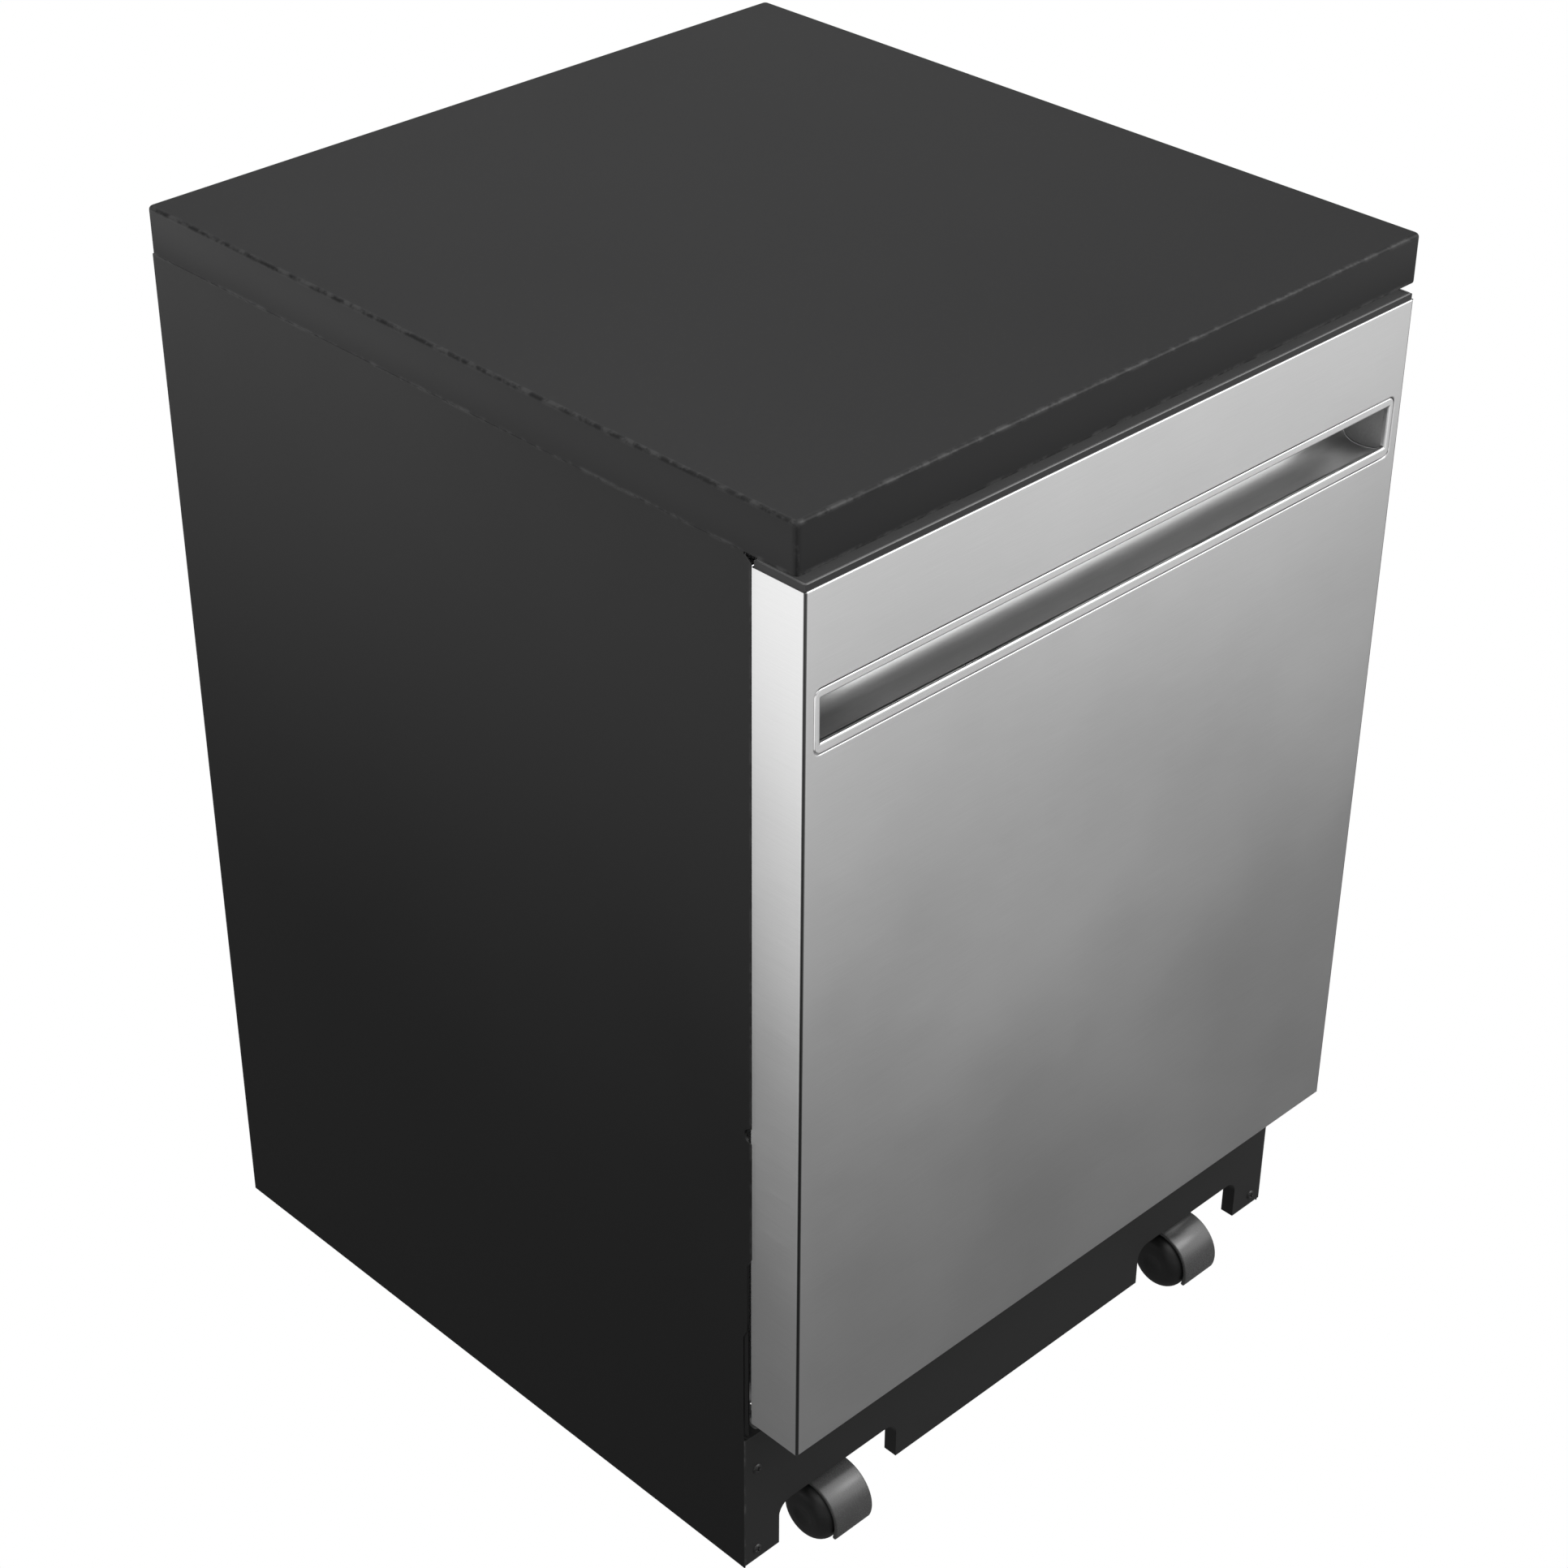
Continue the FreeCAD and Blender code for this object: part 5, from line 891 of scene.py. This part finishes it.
rows = lathe(collar, middle_of("filter_cup") * (1, 1, 0), (2, 0, 1), 64)[0].reshape(len(collar), 64, 3)
piece("filter_collar", [skin(rows, ring=True)], "filter_cup", mesh_grey)

# ---- tub ----
# A box folded and welded from one and a half millimetre stainless sheet, its walls pressed with shallow
# ribs, with a flat frame round its mouth. A hollow rubber ring on the frame seals the door.
tub_steel = finish(
    "tub_steel", grey(0.56, (1, 1, 1.01)), 0.27, metal=1.0, lay=(30, 30, 900), fine=1.5, slow=7, mottle=0.07,
    spread=0.05, bump=0.25, depth=0.00005, anisotropic=0.3,
)
dress(tub_steel, "tub", "upper_rack_rails", "door_liner")
seal_low, seal_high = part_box("tub_seal")
rubber = finish(
    "seal_rubber", grey(0.045), 0.6, fine=1100, slow=20, mottle=0.15, bump=0.5, depth=0.0001, sheen_weight=0.2
)
SEAL_HALF = 0.0062
angle = np.linspace(0, 2 * np.pi, 20, endpoint=False)
rows = []
for a in angle:
    inset = SEAL_HALF * (1 - np.cos(a)) + 0.0003
    swell = np.sign(np.sin(a)) * abs(np.sin(a)) ** 0.6
    depth = (seal_high.y + seal_low.y) / 2 + (seal_high.y - seal_low.y) / 2 * swell
    near, far = (seal_low.x + inset, seal_low.z + inset), (seal_high.x - inset, seal_high.z - inset)
    rows.append(stood(outline(near, far, 0.022 - inset), depth))
piece("door_seal", [skin(np.array(rows), ring=True)], "cabinet", rubber, ["tub_seal"])
# Four beads stiffen each side wall: half round bars, 12 mm high and 1.5 mm proud, that taper at both ends
# by one minus the sixteenth power of the distance from their middle.
TUB_HALF, BEAD_HALF, BEAD_PROUD = 0.2755, 0.006, 0.0015
y = np.linspace(-0.235, 0.255, 40)[:, None]
a = np.linspace(0, np.pi, 9)
taper = np.sqrt(np.clip(1 - (np.abs(y - 0.01) / 0.245) ** 16, 0, 1)) + 1e-3
beads = []
for sign in (-1, 1):
    for z in (0.330, 0.470, 0.740, 0.800):
        across = [sign * (TUB_HALF - BEAD_PROUD * np.sin(a) * taper), y, z + BEAD_HALF * np.cos(a) * taper]
        behind = [np.full((40, 1), sign * (TUB_HALF + 0.0004)), y, z]
        rows = [np.stack(np.broadcast_arrays(*run), -1) for run in (across, behind)]
        beads.append(skin(np.concatenate(rows, 1)))
piece("tub_beads", beads, "cabinet", tub_steel, smooth=50)
sheath = finish(
    "heater_sheath", grey(0.22, (1.02, 1, 0.97)), 0.38, metal=0.9, fine=500, slow=25, mottle=0.2, spread=0.08,
    bump=0.3,
)
dress(sheath, "heater")

# ---- spray arms ----
# Moulded grey arms with a row of nozzles that stand a little proud of the blade. The lower one turns on the
# tower, the upper one hangs from the upper rack's feed pipe.
arm_plastic = finish(
    "arm_plastic", grey(0.23, (0.97, 1, 1.04)), 0.38, fine=1200, slow=12, mottle=0.1, bump=0.35, depth=0.00008
)
dress(
    arm_plastic, "lower_spray_arm", "upper_spray_arm", "spray_tower", "spray_riser", "roof_sprinkler",
    "upper_feed_pipe", "water_float", "upper_rack_rollers", "lower_rack_wheels",
)
opening_shade_black = finish("opening_shade_black", grey(0.01), 0.4, fine=900, slow=30, mottle=0.1)
# Each jet is a low collar with a slot across its top, a little off the arm's middle line on alternate sides.
# The slot is not cut: a thin black block on the collar is painted shade standing in for the opening.
collar = np.array([(-0.002, 0.0), (-0.002, 0.0052), (0, 0.005), (0.0014, 0.0036), (0.0014, 0.0)])
for name, body, jets in (
    ("lower_arm", "lower_spray_arm", (0.05, 0.095, 0.14, 0.185, 0.225)),
    ("upper_arm", "upper_spray_arm", (0.045, 0.09, 0.135, 0.175, 0.21)),
):
    blade_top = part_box(body)[1].z - 0.003
    middle = middle_of(body) * (0, 1, 0)
    collars, throats = [], []
    for sign in (-1, 1):
        for i, x in enumerate(jets):
            spot = middle + (sign * x, 0.005 * (-1) ** i * sign, 0)
            collars.append(lathe(collar + (blade_top, 0), spot, (2, 0, 1), 16))
            low = spot + (-0.0026, -0.0006, blade_top + 0.0006)
            high = spot + (0.0026, 0.0006, blade_top + 0.0017)
            throats.append(slab(low, high, 0.0005, 0.0002, 0.0001))
    piece(f"{name}_nozzles", collars, body, arm_plastic)
    piece(f"{name}_slot_shade", throats, body, opening_shade_black)
# The sprinkler's holes are not cut either: black pads under it are painted shade standing in for the
# openings.
SPRAY_RING = 0.017
middle = middle_of("roof_sprinkler") * (0, 1, 0) + (0, 0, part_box("roof_sprinkler")[0].z - 0.0004)
holes = []
for a in np.radians(np.arange(0, 360, 45)):
    spot = middle + (SPRAY_RING * np.cos(a), SPRAY_RING * np.sin(a), 0)
    low, high = spot - (0.0012, 0.0012, 0.0001), spot + (0.0012, 0.0012, 0.002)
    holes.append(slab(low, high, 0.0011, 0.0001, 0.0001))
piece("sprinkler_hole_shade", holes, "cabinet", opening_shade_black)

# ---- racks ----
# Baskets of round steel wire coated in grey nylon: hoops run across and lengthways, bent up into the sides,
# and are welded to a rim. Rows of tines stand on the floor of the basket.


def rounded_run(points, radius, steps=6):
    """A broken line, each inner corner swept by a quadratic curve that starts and ends a radius from it."""
    points = np.array(points, float)
    t = np.linspace(0, 1, steps)[:, None]
    out = [points[:1]]
    for before, corner, after in zip(points, points[1:], points[2:]):
        back, on = np.linalg.norm(before - corner), np.linalg.norm(after - corner)
        a = corner + (before - corner) / back * min(radius, 0.49 * back)
        b = corner + (after - corner) / on * min(radius, 0.49 * on)
        out.append((1 - t) ** 2 * a + 2 * t * (1 - t) * corner + t**2 * b)
    return np.concatenate(out + [points[-1:]])


nylon = finish(
    "rack_nylon", grey(0.30, (0.96, 1, 1.04)), 0.36, fine=900, slow=12, mottle=0.12, bump=0.35, depth=0.00008,
    coat_weight=0.15,
)
THICK, THIN, WELD = 0.0024, 0.0016, 0.0012


def rack(name, node, hoops, lengths, tine_rows, tine_high, side_rails):
    """A wire basket inside a node's box: level hoops, upright hoops both ways, rows of leaning tines."""
    low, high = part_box(node)
    x0, x1, y0, y1 = low.x + THICK, high.x - THICK, low.y + THICK, high.y - THICK
    z0, z1 = low.z + THIN, high.z - THICK
    levels = [(z1, 0, THICK, 10), (z0 + 0.012, 0.001, THICK * 0.8, 8)]
    levels += [(z0 + (z1 - z0) * share, 0.0005, THIN, 8) for share in side_rails]
    wires = []
    for z, inset, wire, around in levels:
        flat = outline((x0 + inset, y0 + inset), (x1 - inset, y1 - inset), 0.02, sides=2, corner=6)
        wires.append(tube(np.column_stack([flat, np.full(len(flat), z)]), wire, around, True))
    left, right, near, far = x0 + WELD, x1 - WELD, y0 + WELD, y1 - WELD
    for y in np.linspace(y0 + 0.022, y1 - 0.022, hoops):
        hoop = [(left, y, z1), (left, y, z0), (right, y, z0), (right, y, z1)]
        wires.append(tube(rounded_run(hoop, 0.014), THIN))
    floor = z0 + 0.003
    for x in np.linspace(x0 + 0.026, x1 - 0.026, lengths):
        hoop = [(x, near, z1), (x, near, floor), (x, far, floor), (x, far, z1)]
        wires.append(tube(rounded_run(hoop, 0.014), THIN))
    foot = z0 + 0.0045
    for (start, stop, y), count in tine_rows:
        bar = [(start - 0.006, y, foot), ((start + stop) / 2, y, foot), (stop + 0.006, y, foot)]
        wires.append(tube(bar, THIN * 1.1))
        for x in np.linspace(start, stop, count):
            tine = [(x, y, foot), (x, y + 0.004, z0 + tine_high * 0.5), (x, y + 0.014, z0 + tine_high)]
            wires.append(tube(rounded_run(tine, 0.02, 4), THIN, 6))
    return piece(name, wires, node, nylon, [node], smooth=60)


lower_rows = [((-0.228, 0.135, y), 17) for y in (-0.165, -0.085, -0.005, 0.075)]
lower_rows += [((-0.228, 0.228, y), 20) for y in (0.155, 0.222)]
rack("lower_rack_wires", "lower_rack", 15, 13, lower_rows, 0.085, (0.34, 0.67))
upper_rows = [((-0.225, 0.225, y), 15) for y in (-0.14, -0.04, 0.06, 0.16)]
rack("upper_rack_wires", "upper_rack", 15, 13, upper_rows, 0.062, (0.5,))
basket_plastic = finish(
    "basket_plastic", grey(0.16), 0.42, fine=1200, slow=14, mottle=0.12, bump=0.35, depth=0.00008
)
dress(basket_plastic, "cutlery_basket")
low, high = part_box("cutlery_basket")
foot, grip = high.z - 0.004, high.z + 0.028
bow = [(low.y + 0.004, foot), (low.y + 0.03, grip), (high.y - 0.03, grip), (high.y - 0.004, foot)]
bow = rounded_run(drawn_along(bow, [middle_of("cutlery_basket")[0]])[0], 0.02, 8)
piece("basket_handle", [tube(bow, 0.0032, 12)], "lower_rack", basket_plastic)

# ---- door liner fittings, hinges and latch ----
# The dispenser is a grey moulding let into the liner, with a sliding lid and a blue rinse aid cap. The
# door's weight is held by two long coil springs under the tub.
moulding = finish(
    "dispenser_plastic", grey(0.30, (0.98, 1, 1.03)), 0.36, fine=1300, slow=14, mottle=0.1, bump=0.35,
    depth=0.00007,
)
dress(moulding, "dispenser_body")
FROM_DOOR = (0, 2, 1)
low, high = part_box("dispenser_lid")
face_y = high.y - 0.0025
plate = slab((low.x, low.y, low.z), (high.x, face_y, high.z), 0.005, 0.0009, 0.0005, FROM_DOOR)
grip_low = (low.x + 0.016, face_y - 0.0006, high.z - 0.018)
grip_high = (high.x - 0.016, high.y, high.z - 0.010)
grip = slab(grip_low, grip_high, 0.003, 0.001, 0.0004, FROM_DOOR)
piece("dispenser_slide", [plate, grip], "dispenser_lid", moulding, ["dispenser_lid"])
cap_blue = finish(
    "cap_blue", (0.03, 0.08, 0.22, 1), 0.34, fine=1300, slow=20, mottle=0.12, bump=0.35, depth=0.00007
)
low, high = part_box("rinse_aid_cap")
centre = middle_of("rinse_aid_cap")
disc_top = high.y - 0.003
turn = np.linspace(0, 2 * np.pi, 96, endpoint=False)
rows = []
for y, r in (
    (low.y, 0.0130), (low.y, 0.0136), (disc_top - 0.0012, 0.0136), (disc_top - 0.0003, 0.0130),
    (disc_top, 0.0120), (disc_top - 0.0006, 0.0112),
):
    knurl = r + (0.00035 * np.cos(turn * 24) if r > 0.0131 else 0)
    ring = [centre[0] + knurl * np.cos(turn), np.full(96, y), centre[2] + knurl * np.sin(turn)]
    rows.append(np.stack(ring, -1))
grip_low = (low.x + 0.004, disc_top - 0.001, centre[2] - 0.0025)
grip_high = (high.x - 0.004, high.y, centre[2] + 0.0025)
grip = slab(grip_low, grip_high, 0.002, 0.001, 0.0003, FROM_DOOR)
disc = skin(np.array(rows))
piece("rinse_cap", [disc, grip], "rinse_aid_cap", cap_blue, ["rinse_aid_cap"])
dress(zinc, "door_strike", "hinge_pins", "latch_pawl")
# Each spring is a screw line of 56 turns, with a hook of thicker wire at both ends.
low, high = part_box("door_springs")
mid_z = middle_of("door_springs")[2]
COIL_WIRE, COIL_RADIUS, TURNS = 0.0011, 0.0068, 56
start, stop = low.y + 0.019, -0.001
t = np.linspace(0, 1, TURNS * 14)
turn = 2 * np.pi * TURNS * t
springs = []
for sign in (-1, 1):
    x = sign * (high.x - 0.008)
    coil = [x + COIL_RADIUS * np.cos(turn), start + (stop - start) * t, mid_z + COIL_RADIUS * np.sin(turn)]
    springs.append(tube(np.stack(coil, -1), COIL_WIRE, 6))
    for foot, inwards, end in ((start, start - 0.003, low.y), (stop, stop + 0.003, high.y)):
        hook = [(x + COIL_RADIUS, foot, mid_z), (x, inwards, mid_z), (x, end, mid_z)]
        springs.append(tube(rounded_run(hook, 0.003), 0.0014, 8))
piece("counterbalance_springs", springs, "cabinet", zinc, ["door_springs"], smooth=60)

# ---- sizes and the last line ----
size = {"cad": [list(v) for v in cad_box], "visual": [list(v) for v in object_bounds()]}
